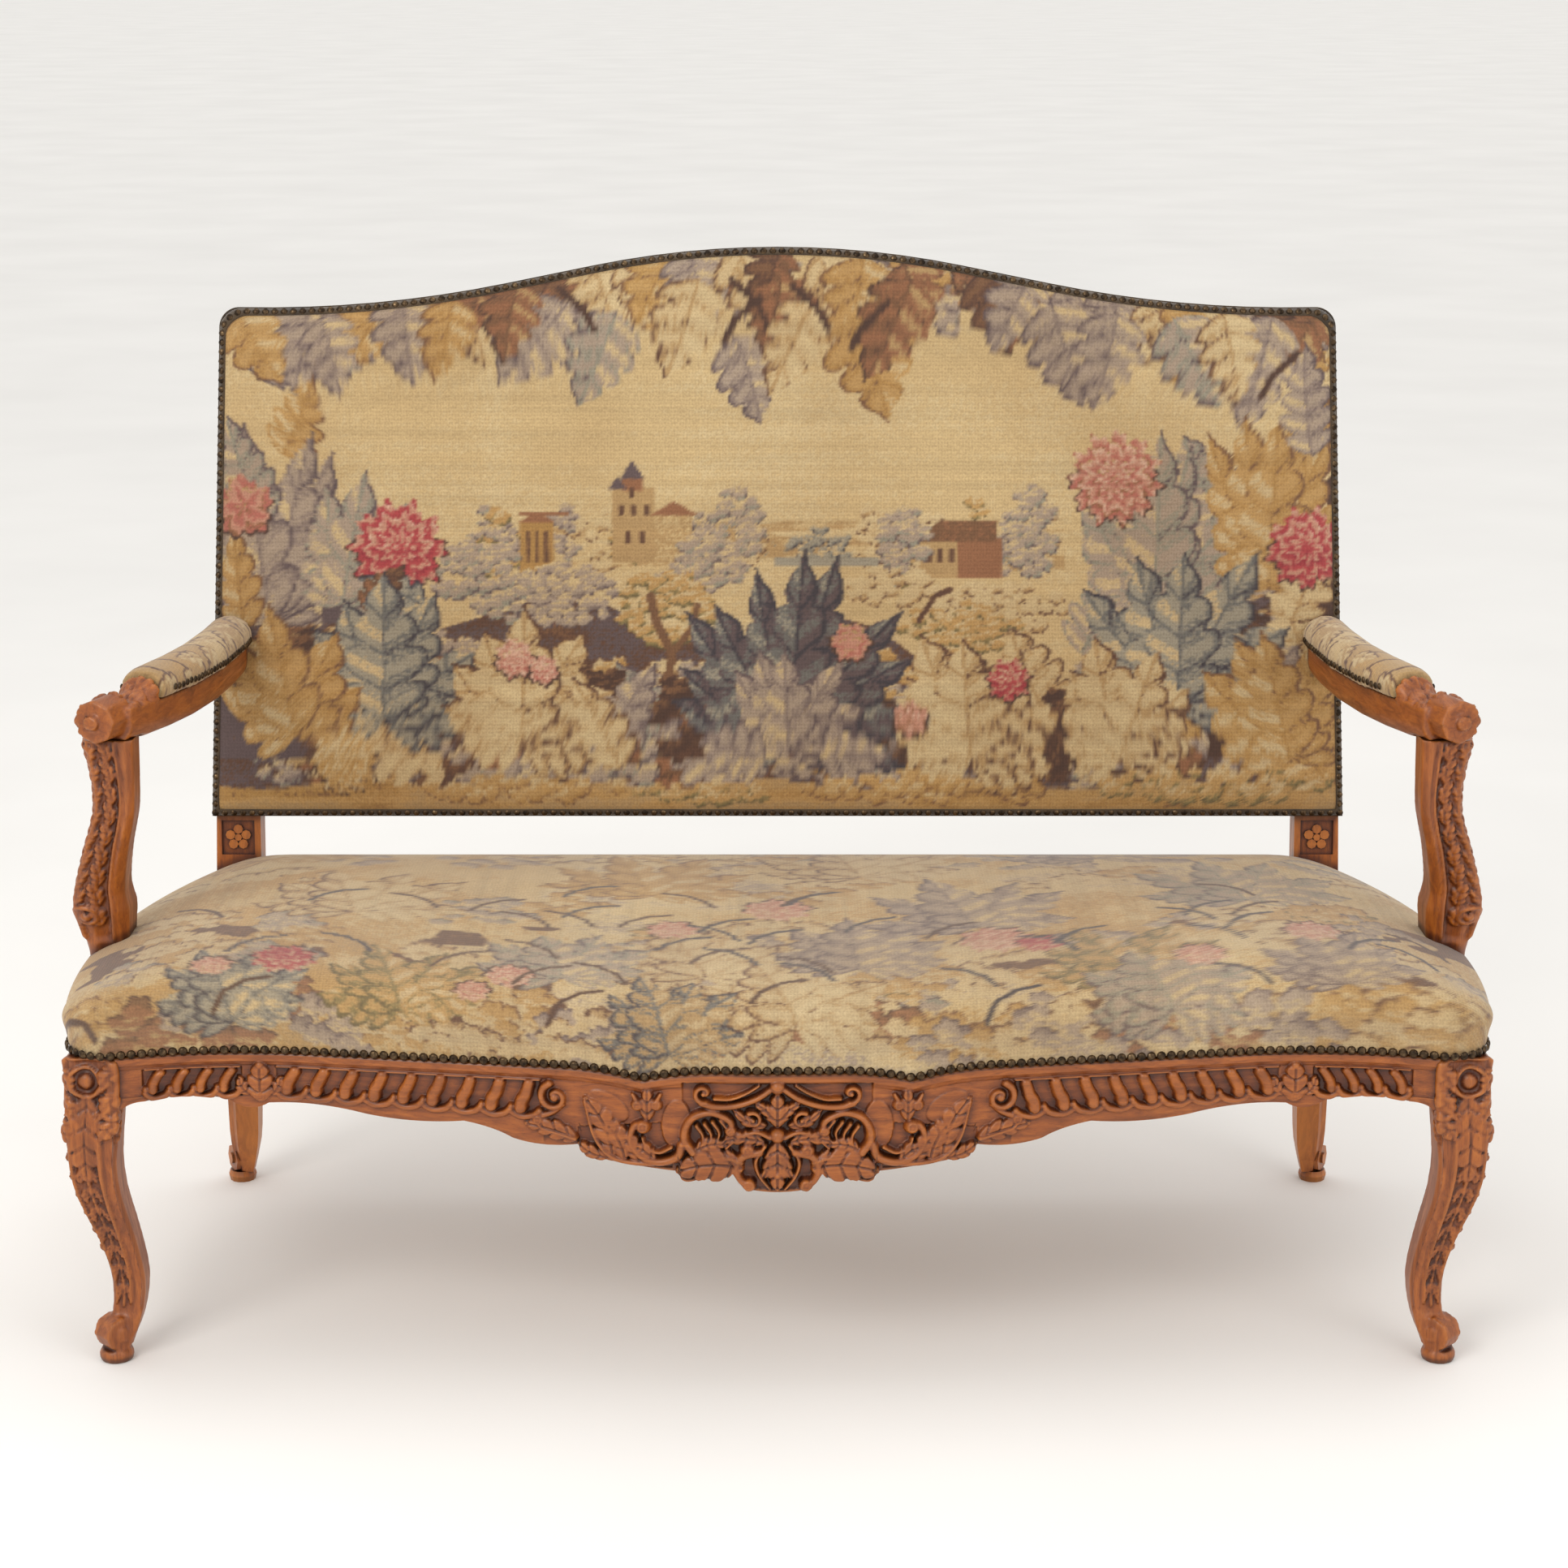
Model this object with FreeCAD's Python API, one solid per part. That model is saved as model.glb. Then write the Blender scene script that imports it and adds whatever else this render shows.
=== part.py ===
import FreeCAD, Part
import math
import os

# A three-seat settee with a camel back, open arms and diagonal cabriole legs.
# X is the width, the front faces -Y and the feet stand on Z = 0. All sizes are in mm.

V = FreeCAD.Vector
X_AXIS = V(1, 0, 0)
Y_AXIS = V(0, 1, 0)
Z_AXIS = V(0, 0, 1)
ORIGIN = V(0, 0, 0)

# Serpentine front of the seat, seen from above
hollow_reach = 301.0
bow_rise = 71.0
bow_reach = hollow_reach + bow_rise
hollow_x = 600.0
hollow_radius = 480.0
bow_slope = 1.268 * bow_rise / hollow_x

# Bowed sides and back of the seat, seen from above
side_rear_y = 236.0
side_bulge = 40.0
seat_back_y = 272.0

# Seat rails
rail_top = 398.0
rail_low = 330.0
rail_thickness = 42.0
side_rail_thickness = 40.0
back_rail_thickness = 34.0
show_edge = 379.0
cusp_x = 151.0
cusp_drop = 11.0
cusp_spread = 84.0
cover_rebate = 4.0
ground_depth = 5.0
top_moulding_height = 16.0
bottom_blank = 225.0

# Ribbon of slanted flutes on the front rail
ribbon_top = 361.0
ribbon_low_outer = 334.0
ribbon_low_inner = 328.0
flute_width = 8.0
flute_length = 23.0
flute_tilt = 18.0
long_ribbon_start = 268.0
long_ribbon_pitch = 34.0
long_ribbon_flutes = 9
short_ribbon_start = 634.0
short_ribbon_pitch = 27.0
short_ribbon_flutes = 4
accent_share = 0.806

# Front legs
leg_block = 62.0
leg_inner_x = 742.0
accent_x = leg_inner_x * accent_share
leg_joint_low = 322.0
front_ankle_x = leg_inner_x + 9.0
pad_radius = 20.5
pad_height = 14.0
toe_radius = 21.0
toe_length = 30.0
toe_sink = 1.0
toe_reach = 15.0
rear_toe_radius = 18.0
rear_toe_length = 26.0

# Rear legs and the stiles above them
rear_leg_inner_x = 674.0
rear_leg_width = 46.0
rear_leg_depth = 44.0
rear_ankle_kick = 26.0
stile_inner_x = 661.0
stile_outer_low_x = 719.0
stile_depth = 36.0
rosette_panel_width = 42.0
rosette_panel_height = 44.0
rosette_centre_z = 482.0
rosette_recess = 4.0
petal_radius = 6.2
petal_circle = 10.5
petal_count = 5
bead_radius = 4.6

# Raked back frame, measured up the slope from the seat level
rake = 8.05
rake_pivot_z = 400.0
frame_face_y = 224.0
back_low = 512.0
back_side_low_x = 719.5
back_side_top_x = 697.5
crest_hollow = 1151.5
crest_rise = 75.0
crest_peak = crest_hollow + crest_rise
crest_hollow_x = 640.0
crest_hollow_radius = 1520.0
crest_slope = 1.72 * crest_rise / crest_hollow_x
crest_corner_radius = 25.0
crest_depth = 62.0
lower_rail_height = 58.0
upright_width = 50.0
back_rail_member_depth = 30.0

# Arms
arm_height = 44.0
arm_rear_width = 42.0
arm_front_width = 48.0
volute_radius = 26.0
volute_length = 46.0
volute_x = leg_inner_x + 24.0
volute_y = -168.0
volute_z = 735.0
volute_eye_radius = 9.0
volute_eye_height = 3.0
arm_pad_width = 60.0
arm_pad_height = 37.0
arm_pad_front_y = -94.0

# Arm supports
support_x = leg_inner_x + 45.0
support_y = -94.0
support_top = 708.0
dowel_radius = 7.0
dowel_length = 14.0

# Joints
tenon_thickness = 12.0
tenon_length = 24.0
tenon_shoulder = 8.0
mortise_clearance = 0.2
peg_radius = 3.2
peg_length = 34.0
peg_clearance = 0.1
joint_gap = 0.2

# Braces and glue blocks under the seat
brace_x = 250.0
brace_width = 38.0
brace_height = 30.0
brace_top = 384.0
brace_sweep = 14.0
brace_housing = 9.0
block_leg = 78.0
block_low = 346.0
block_top = 386.0

# Webbing and hessian
web_width = 50.0
web_thickness = 1.6
web_gap = 0.3
cross_web_count = 10
cross_web_pitch = 138.0
long_web_count = 3
long_web_pitch = 150.0
hessian_thickness = 1.2

# Upholstery
cover_thickness = 2.0
soft_gap = 0.3
seat_crown = 483.0
back_crown = 27.0
skirt_back = 20.0
carving_sag = 0.9
wood_sag = 0.5
boss_sag = 0.09
soft_sag = 1.0
back_sag = 0.2
outside_cover_thickness = 2.0
braid_width = 11.0
braid_thickness = 1.4


def wire(edges):
    """One closed wire from edges already in order."""
    return Part.Wire(edges)


def face(edges):
    return Part.Face(wire(edges))


def line(a, b):
    return Part.LineSegment(a, b).toShape()


def arc(a, b, c):
    return Part.Arc(a, b, c).toShape()


def polygon(points):
    return Part.makePolygon(points + [points[0]])


def box(x0, x1, y0, y1, z0, z1):
    return Part.makeBox(x1 - x0, y1 - y0, z1 - z0, V(x0, y0, z0))


def mirrored(shape):
    """The same piece on the other side of the centre line."""
    return shape.mirror(ORIGIN, X_AXIS)


def save(name, shape):
    shape.exportStep("parts/" + name + ".step")


def chord_count(edge, sag):
    """How many straight chords keep within a sag of an arc; a line needs one."""
    if edge.Curve.TypeId != "Part::GeomCircle":
        return 1
    return max(2, math.ceil(edge.Length / math.sqrt(8.0 * edge.Curve.Radius * sag)))


def chord_points(edges, counts):
    """Corners of straight chords along a closed run of edges in order."""
    points = []
    for edge, count in zip(edges, counts):
        run = edge.discretize(count + 1)
        if points and points[-1].distanceToPoint(run[0]) > points[-1].distanceToPoint(run[-1]):
            run.reverse()
        points += run if not points else run[1:]
    return points[:-1]


def cut_outline(edges, sag):
    """Outline of a carving, its arcs worked as short straight cuts."""
    return polygon(chord_points(edges, [chord_count(e, sag) for e in edges]))


def facets(a, b, c, d):
    """Flat faces between two facing chords: one where the four corners allow it."""
    twist = abs((b - a).cross(c - a).dot(d - a))
    if twist < 1e-6:
        return [Part.Face(polygon([a, b, c, d]))]
    return [Part.Face(polygon([a, b, c])), Part.Face(polygon([a, c, d]))]


def skin(sections, sag):
    """Loft in flat facets through closed sections, their arcs taken in straight chords."""
    runs = [s.OrderedEdges for s in sections]
    counts = [max(chord_count(e, sag) for e in group) for group in zip(*runs)]
    rings = [chord_points(run, counts) for run in runs]
    faces = [Part.Face(polygon(rings[0])), Part.Face(polygon(rings[-1]))]
    for low, high in zip(rings, rings[1:]):
        for i in range(len(low)):
            faces += facets(low[i - 1], low[i], high[i], high[i - 1])
    shell = Part.makeShell(faces)
    shell.sewShape()
    return Part.makeSolid(shell)


def eased(stations, steps):
    """The stations with extra ones between them, on a smooth curve through them all."""
    found = []
    last = len(stations) - 1
    for i in range(last):
        a = stations[max(i - 1, 0)]
        b = stations[i]
        c = stations[i + 1]
        d = stations[min(i + 2, last)]
        for k in range(steps):
            t = k / steps
            w0 = -0.5 * t + t ** 2 - 0.5 * t ** 3
            w1 = 1 - 2.5 * t ** 2 + 1.5 * t ** 3
            w2 = 0.5 * t + 2 * t ** 2 - 1.5 * t ** 3
            w3 = -0.5 * t ** 2 + 0.5 * t ** 3
            found.append(tuple(w0 * p0 + w1 * p1 + w2 * p2 + w3 * p3 for p0, p1, p2, p3 in zip(a, b, c, d)))
    found.append(stations[last])
    return found


def largest(shape):
    return max(shape.Solids, key=lambda s: s.Volume)


def save_pair(name, shape):
    save(name + "_right", shape)
    save(name + "_left", mirrored(shape))


def bow_curve(peak, hollow, turn_x, turn_radius, slope, end_x, offset, place):
    """Cupid's bow from left to right: two hollow arcs, two straights and a crown, all tangent.

    The offset moves the whole curve outwards along its normal. The crown radius follows from
    the other sizes, so the five edges stay tangent when any of them changes.
    """
    angle = math.atan(slope)
    crown_radius = crown_radius_of(peak, hollow, turn_x, turn_radius, slope)
    outer = crown_radius + offset
    inner = turn_radius - offset

    def crown(a):
        return outer * math.sin(a), peak - crown_radius + outer * math.cos(a)

    def hollow_arc(a):
        return turn_x + inner * math.sin(a), hollow + turn_radius - inner * math.cos(a)

    last = math.asin((end_x - turn_x) / inner)
    right = [crown(angle), hollow_arc(-angle), hollow_arc((last - angle) / 2), hollow_arc(last)]
    left = [(-x, h) for x, h in right]
    r = [place(x, h) for x, h in right]
    m = [place(x, h) for x, h in left]
    top = place(*crown(0.0))
    return [
        arc(m[3], m[2], m[1]),
        line(m[1], m[0]),
        arc(m[0], top, r[0]),
        line(r[0], r[1]),
        arc(r[1], r[2], r[3]),
    ]


def ends(edges):
    """First and last point of a run of edges."""
    return edges[0].Vertexes[0].Point, edges[-1].Vertexes[-1].Point


def front_curve(end_x, offset, z):
    return bow_curve(
        bow_reach, hollow_reach, hollow_x, hollow_radius, bow_slope, end_x, offset,
        lambda x, h: V(x, -h, z),
    )


def crown_radius_of(peak, hollow, turn_x, turn_radius, slope):
    """Radius of the crown that makes the whole bow tangent."""
    angle = math.atan(slope)
    flat = 1.0 - math.cos(angle)
    reach = turn_x - turn_radius * math.sin(angle)
    fall = peak - hollow - turn_radius * flat - slope * reach
    return fall / (flat - slope * math.sin(angle))


def front_at(x, offset=0.0):
    """Depth of the serpentine front at one x, and the angle of its face there."""
    across = abs(x)
    sign = 1 if x >= 0 else -1
    angle = math.atan(bow_slope)
    crown = crown_radius_of(bow_reach, hollow_reach, hollow_x, hollow_radius, bow_slope)
    outer = crown + offset
    inner = hollow_radius - offset
    if across < outer * math.sin(angle):
        reach = bow_reach - crown + math.sqrt(outer ** 2 - across ** 2)
        lean = math.asin(across / outer)
    elif across > hollow_x - inner * math.sin(angle):
        reach = hollow_reach + hollow_radius - math.sqrt(inner ** 2 - (across - hollow_x) ** 2)
        lean = -math.asin((across - hollow_x) / inner)
    else:
        start = outer * math.sin(angle)
        reach = bow_reach - crown + outer * math.cos(angle) - bow_slope * (across - start)
        lean = angle
    return -reach, sign * lean


side_front_x = leg_inner_x + leg_block
side_rear_x = rear_leg_inner_x + rear_leg_width + 2.0
leg_front_y = front_at(leg_inner_x)[0]
leg_rear_y = leg_front_y + leg_block
leg_outer_x = leg_inner_x + leg_block
side_front_y = leg_rear_y

# Circle of the bowed side, from its chord and its bulge
chord = V(side_rear_x - side_front_x, side_rear_y - side_front_y, 0)
side_radius = (chord.Length / 2) ** 2 / (2 * side_bulge) + side_bulge / 2
chord_middle = V((side_rear_x + side_front_x) / 2, (side_rear_y + side_front_y) / 2, 0)
side_normal = V(chord.y, -chord.x, 0).normalize()
side_centre = chord_middle - side_normal * (side_radius - side_bulge)


def side_x(y, offset=0.0):
    """How far the bowed side lies from the centre line."""
    return side_centre.x + math.sqrt((side_radius + offset) ** 2 - (y - side_centre.y) ** 2)


def bulged_arc(a, b, share):
    """Arc from a to b, standing out to the left of its chord by a share of it."""
    run = b - a
    out = V(run.y, -run.x, 0) * share
    return arc(a, (a + b) * 0.5 + out, b)


def seat_outline(z, front, side, back):
    """Closed plan outline of the seat at height z, moved outwards by three offsets."""
    start_x = leg_inner_x + min(0.0, side)
    bow = front_curve(start_x, front, z)
    left_end, right_end = ends(bow)
    shoulder_y = side_front_y - min(0.0, front)
    rear_y = seat_back_y + back
    turn_y = rear_y - 24.0
    shoulder = V(side_x(shoulder_y, side), shoulder_y, z)
    middle_y = (shoulder_y + turn_y) / 2
    middle = V(side_x(middle_y, side), middle_y, z)
    turn = V(side_x(turn_y, side), turn_y, z)
    rear = V(turn.x - 24.0, rear_y, z)

    def over(p):
        return V(-p.x, p.y, p.z)

    return wire(bow + [
        bulged_arc(right_end, shoulder, 0.26),
        arc(shoulder, middle, turn),
        bulged_arc(turn, rear, 0.2),
        line(rear, over(rear)),
        bulged_arc(over(rear), over(turn), 0.2),
        arc(over(turn), over(middle), over(shoulder)),
        bulged_arc(over(shoulder), left_end, 0.26),
    ])


def seat_prism(offset, low, high, back=None):
    """Upright prism on the seat outline."""
    rear = offset if back is None else back
    return Part.Face(seat_outline(low, offset, offset, rear)).extrude(V(0, 0, high - low))


def rail_strip(low, high, front, back):
    """Part of the serpentine rail between two offsets of its front curve."""
    outer = front_curve(leg_inner_x, front, low)
    inner = front_curve(leg_inner_x, back, low)
    a, b = ends(outer)
    c, d = ends(inner)
    back_edges = [e.reversed() for e in reversed(inner)]
    return face(outer + [line(b, d)] + back_edges + [line(c, a)]).extrude(V(0, 0, high - low))


def upright_sheet(edges, front, rear):
    """Outline drawn in the XZ plane and carried through the depth from front to rear."""
    shape = face(edges).extrude(V(0, rear - front, 0))
    shape.translate(V(0, front, 0))
    return shape


def p(x, z):
    """Point of an elevation outline."""
    return V(x, 0, z)


def flipped(points):
    return [V(-q.x, q.y, q.z) for q in points]


def symmetric_path(right):
    """Edges of a symmetric curve through right-hand points, from the far left to the far right.

    Every group is a line (2 points) or an arc (3 points), listed from the middle outwards.
    """
    edges = []
    for group in reversed(right):
        g = flipped(group)
        edges.append(line(g[1], g[0]) if len(g) == 2 else arc(g[2], g[1], g[0]))
    for g in right:
        edges.append(line(g[0], g[1]) if len(g) == 2 else arc(g[0], g[1], g[2]))
    return edges


def show_line(end_x, lift):
    """Upper edge of the show wood: level, with two cusps beside the cartouche."""
    top = show_edge + lift
    inner = cusp_x - cusp_spread
    outer = cusp_x + cusp_spread
    return symmetric_path([
        [p(0, top), p(inner, top)],
        [p(inner, top), p(cusp_x - cusp_spread * 0.42, top - cusp_drop * 0.36), p(cusp_x, top - cusp_drop)],
        [p(cusp_x, top - cusp_drop), p(cusp_x + cusp_spread * 0.42, top - cusp_drop * 0.36), p(outer, top)],
        [p(outer, top), p(end_x, top)],
    ])


def band_between(upper, lower):
    """Closed outline between two runs of edges that both go from left to right."""
    ua, ub = ends(upper)
    la, lb = ends(lower)
    return upper + [line(ub, lb)] + [e.reversed() for e in reversed(lower)] + [line(la, ua)]


rail_sheet_front = -bow_reach - 90.0
rail_sheet_back = -hollow_reach + 70.0
half_span = side_front_x + 150.0


def on_rail(edges, low, high):
    """Relief on the rail: an elevation outline cut to the layer between two offsets."""
    layer = rail_strip(bottom_blank, rail_top, high, low)
    sheet = Part.Face(cut_outline(edges, carving_sag)).extrude(V(0, rail_sheet_back - rail_sheet_front, 0))
    sheet.translate(V(0, rail_sheet_front, 0))
    return sheet.common(layer)


def applied(edges, x, low, high):
    """Carving on the rail: an outline raised square to the face at x, between two offsets."""
    y, lean = front_at(x)
    piece = Part.Face(cut_outline(edges, carving_sag)).extrude(V(0, low - high, 0))
    piece.translate(V(-x, -low, 0))
    piece.rotate(ORIGIN, Z_AXIS, math.degrees(lean))
    piece.translate(V(x, y, 0))
    return piece


def middle_of(edges):
    """Mean x of an outline's corners."""
    points = [v.Point.x for e in edges for v in e.Vertexes]
    return sum(points) / len(points)


def scallops(start, step, count, z0, z1, depth):
    """Wavy lower edge: hanging arcs of one pitch along a sloping line."""
    edges = []
    for i in range(count):
        a = start + i * step
        b = a + step
        za = z0 + (z1 - z0) * i / count
        zb = z0 + (z1 - z0) * (i + 1) / count
        edges.append(arc(p(a, za), p((a + b) / 2, (za + zb) / 2 - depth), p(b, zb)))
    return edges


def flute(x, z):
    """One slanted flute, drawn in elevation as two facing arcs."""
    lean = math.radians(flute_tilt)
    half = flute_length / 2
    rise = V(-math.sin(lean) * half, 0, math.cos(lean) * half)
    side = V(math.cos(lean), 0, math.sin(lean)) * (flute_width / 2)
    c = p(x, z)
    return [arc(c - rise, c + side, c + rise), arc(c + rise, c - side, c - rise)]


def leaf(x0, z0, x1, z1, width, curl=0.0):
    """Pointed leaf between two points, its two arcs bent over by the curl."""
    a = p(x0, z0)
    b = p(x1, z1)
    run = b - a
    side = V(-run.z, 0, run.x).normalize()
    middle = (a + b) * 0.5
    return [arc(a, middle + side * (curl + width / 2), b), arc(b, middle + side * (curl - width / 2), a)]


def scroll(x, z, radius, width, start, sweep):
    """C-scroll: a tapering band round a centre, with a round eye at its end."""
    def on(r, degrees):
        a = math.radians(degrees)
        return p(x + r * math.cos(a), z + r * math.sin(a))

    half = start + sweep / 2
    end = start + sweep
    tip = radius - width * 0.35
    return [
        arc(on(radius, start), on(radius + width * 0.15, half), on(radius, end)),
        line(on(radius, end), on(radius - width, end)),
        arc(on(radius - width, end), on(radius - width * 0.75, half), on(tip, start)),
        line(on(tip, start), on(radius, start)),
    ]


def disc(x, z, radius):
    return [Part.Circle(p(x, z), Y_AXIS, radius).toShape()]


def mirrored_edges(edges):
    return [e.mirror(ORIGIN, X_AXIS) for e in edges]


def both_sides(outlines):
    return outlines + [mirrored_edges(o) for o in outlines]


def moulded_section(cx, cy, z, size):
    """Section of a diagonal leg: flat inner sides and a reeded front across the corner."""
    def q(u, v):
        return V(cx + u * size, cy - v * size, z)

    return wire([
        line(q(-0.5, -0.5), q(0.5, -0.5)),
        line(q(0.5, -0.5), q(0.5, -0.26)),
        arc(q(0.5, -0.26), q(0.41, -0.02), q(0.43, 0.2)),
        arc(q(0.43, 0.2), q(0.395, 0.395), q(0.2, 0.43)),
        arc(q(0.2, 0.43), q(-0.02, 0.41), q(-0.26, 0.5)),
        line(q(-0.26, 0.5), q(-0.5, 0.5)),
        line(q(-0.5, 0.5), q(-0.5, -0.5)),
    ])


def scroll_toe(x, y, z, direction, radius, length):
    """Volute of a foot: a roll lying across the leg, with a stepped eye on both sides."""
    axis = V(direction.y, -direction.x, 0)
    start = V(x, y, z) - axis * (length / 2)
    roll = boss(start, axis, radius, length)
    eye = boss(start - axis * 3.0, axis, radius * 0.42, length + 6.0)
    return [roll, eye]


def foot_pad(x, y, radius, height):
    """Round pad that swells to its rim and draws in again below the toe."""
    rims = [(0.0, radius - 2.0), (height * 0.55, radius), (height, radius - 2.5)]
    return skin([Part.Wire(Part.Circle(V(x, y, z), Z_AXIS, r).toShape()) for z, r in rims], wood_sag)


def boss(centre, axis, radius, height):
    """Round boss or dowel worked to narrow flats; a larger radius keeps the same number of them."""
    rim = cut_outline([Part.Circle(centre, axis, radius).toShape()], radius * boss_sag)
    return Part.Face(rim).extrude(axis * height)


def raked(shape):
    """Leans a piece of the back from the upright position to its rake."""
    leaned = shape.copy()
    leaned.rotate(V(0, frame_face_y, rake_pivot_z), X_AXIS, -rake)
    return leaned


# FRONT LEGS

outward = V(1, -1, 0).normalize()
block_centre_x = leg_inner_x + leg_block / 2
block_centre_y = leg_rear_y - leg_block / 2
ankle_y = block_centre_y + (block_centre_x - front_ankle_x)

# Height, outward travel from the ankle line, and size of the section
front_leg_sections = [
    (leg_joint_low, block_centre_x - front_ankle_x, leg_block),
    (290.0, 26.0, 63.5),
    (250.0, 27.0, 59.0),
    (210.0, 22.5, 54.0),
    (170.0, 13.0, 49.0),
    (130.0, 4.5, 45.0),
    (95.0, 0.0, 43.0),
    (62.0, 2.0, 40.0),
    (36.0, 6.0, 33.0),
    (pad_height, 12.0, 20.0),
]
curved = [
    moulded_section(front_ankle_x + t, ankle_y - t, z, s) for z, t, s in eased(front_leg_sections, 2)
]
front_shaft = skin(curved, wood_sag)
corner_block = Part.Face(moulded_section(block_centre_x, block_centre_y, leg_joint_low, leg_block))
corner_block = corner_block.extrude(V(0, 0, show_edge - leg_joint_low))
leg_top = box(leg_inner_x, leg_outer_x, leg_front_y, leg_rear_y, show_edge, rail_top)
leg_top = leg_top.common(seat_prism(-cover_rebate, show_edge - 1, rail_top + 1))
front_toe_x = front_ankle_x + toe_reach
front_toe_y = ankle_y - toe_reach
front_toe_z = pad_height + toe_radius - toe_sink
front_leg = front_shaft.multiFuse(
    [corner_block, leg_top, foot_pad(front_toe_x, front_toe_y, pad_radius, pad_height)]
    + scroll_toe(front_toe_x, front_toe_y, front_toe_z, outward, toe_radius, toe_length)
)

# Mortises for the two rails, and the pegs through them
tenon_low = rail_low + tenon_shoulder
tenon_high = rail_top - tenon_shoulder
front_tenon_y = leg_front_y + 26.0
side_tenon_x = leg_inner_x + leg_block * 0.55


def tenon_box(x0, x1, y0, y1, grow):
    return box(x0 - grow, x1 + grow, y0 - grow, y1 + grow, tenon_low - grow, tenon_high + grow)


def front_tenon(grow):
    return tenon_box(
        leg_inner_x, leg_inner_x + tenon_length, front_tenon_y, front_tenon_y + tenon_thickness, grow
    )


def side_tenon(grow):
    return tenon_box(
        side_tenon_x, side_tenon_x + tenon_thickness, leg_rear_y - tenon_length + 4, leg_rear_y, grow
    )


def peg(x, face_y, radius):
    """The eight-sided peg through a rail tenon, driven in from the back of the leg."""
    z = (tenon_low + tenon_high) / 2
    corners = []
    for i in range(8):
        turn = math.radians(22.5 + 45.0 * i)
        corners.append(V(x + radius * math.cos(turn), face_y, z + radius * math.sin(turn)))
    return Part.Face(polygon(corners)).extrude(V(0, -peg_length, 0))


front_peg_x = leg_inner_x + tenon_length / 2
front_peg = peg(front_peg_x, leg_rear_y, peg_radius)
front_peg_hole = peg(front_peg_x, leg_rear_y, peg_radius + peg_clearance)
front_leg = front_leg.cut(front_tenon(mortise_clearance)).cut(side_tenon(mortise_clearance))
front_leg = front_leg.cut(front_peg_hole)
save_pair("front_leg", front_leg)

# FRONT RAIL

rail_drawn_half = 742.0


def edge(x, z):
    """Point of the rail's lower edge, drawn for one width and height and moved with the real ones."""
    return p(x * leg_inner_x / rail_drawn_half, z + rail_low - 330.0)


# Lower edge of the rail from the middle outwards
rail_profile = [
    [edge(0, 239), edge(26, 241)],
    [edge(26, 241), edge(38, 246), edge(50, 264)],
    [edge(50, 264), edge(62, 254), edge(84, 255)],
    [edge(84, 255), edge(104, 250), edge(110, 262)],
    [edge(110, 262), edge(150, 266), edge(192, 272)],
    [edge(192, 272), edge(216, 278), edge(222, 289)],
    [edge(222, 289), edge(262, 286), edge(298, 292)],
    [edge(298, 292), edge(322, 302), edge(353, 309)],
    [edge(353, 309), edge(409, 306), edge(465, 311)],
    [edge(465, 311), edge(520, 319), edge(576, 319)],
    [edge(576, 319), edge(598, 313), edge(620, 323)],
    [edge(620, 323), edge(667, 330), edge(712, 325)],
    [edge(712, 325), edge(730, 322), edge(rail_drawn_half, 312)],
]
low_edge = symmetric_path(rail_profile)
left_foot, right_foot = ends(low_edge)
blank_top = [line(p(leg_inner_x, rail_top + 5), p(-leg_inner_x, rail_top + 5))]
rail_elevation = low_edge + [line(right_foot, blank_top[0].Vertexes[0].Point)] + blank_top
rail_elevation = rail_elevation + [line(blank_top[0].Vertexes[1].Point, left_foot)]
blank = rail_strip(bottom_blank, rail_top, -ground_depth, -rail_thickness)
front_rail = blank.common(upright_sheet(rail_elevation, rail_sheet_front, rail_sheet_back))

# Top moulding in two steps that follow the cusps
moulding_steps = [(0.0, 7.0, 1.5), (6.5, top_moulding_height, -1.5)]
relief = []
for upper, lower, stand in moulding_steps:
    strip = band_between(show_line(leg_inner_x, -upper), show_line(leg_inner_x, -lower))
    relief.append(on_rail(strip, -ground_depth - 2, stand))

# Ribbons: a raised field with a scalloped edge, and the flutes standing on it
ground = -ground_depth - 2
ribbon_field = -2.2
lobe_depth = 3.2
flute_stand = 0.8


def ribbon_outline(start, pitch, count, z_start, z_end):
    """Field of one ribbon, with one hanging lobe under every flute."""
    low = scallops(start, pitch, count, z_start, z_end, lobe_depth)
    a, b = ends(low)
    top_right = p(b.x, ribbon_top)
    top_left = p(a.x, ribbon_top)
    return low + [line(b, top_right), line(top_right, top_left), line(top_left, a)]


ribbons = [
    (long_ribbon_start, long_ribbon_pitch, long_ribbon_flutes, ribbon_low_inner, ribbon_low_outer),
    (short_ribbon_start - short_ribbon_pitch / 2, short_ribbon_pitch, short_ribbon_flutes,
     ribbon_low_outer + 2, ribbon_low_outer + 2),
]
for start, pitch, count, z_start, z_end in ribbons:
    for outline in both_sides([ribbon_outline(start, pitch, count, z_start, z_end)]):
        relief.append(on_rail(outline, ground, ribbon_field))
front_rail = front_rail.multiFuse(relief)

flutes = []
for start, pitch, count, z_start, z_end in ribbons:
    for i in range(count):
        z_low = z_start + (z_end - z_start) * (i + 0.5) / count
        flutes.append(flute(start + pitch * (i + 0.5), (z_low + ribbon_top) / 2 + 0.5))
carving = [applied(o, middle_of(o), ribbon_field - 1.0, flute_stand) for o in both_sides(flutes)]

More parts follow.
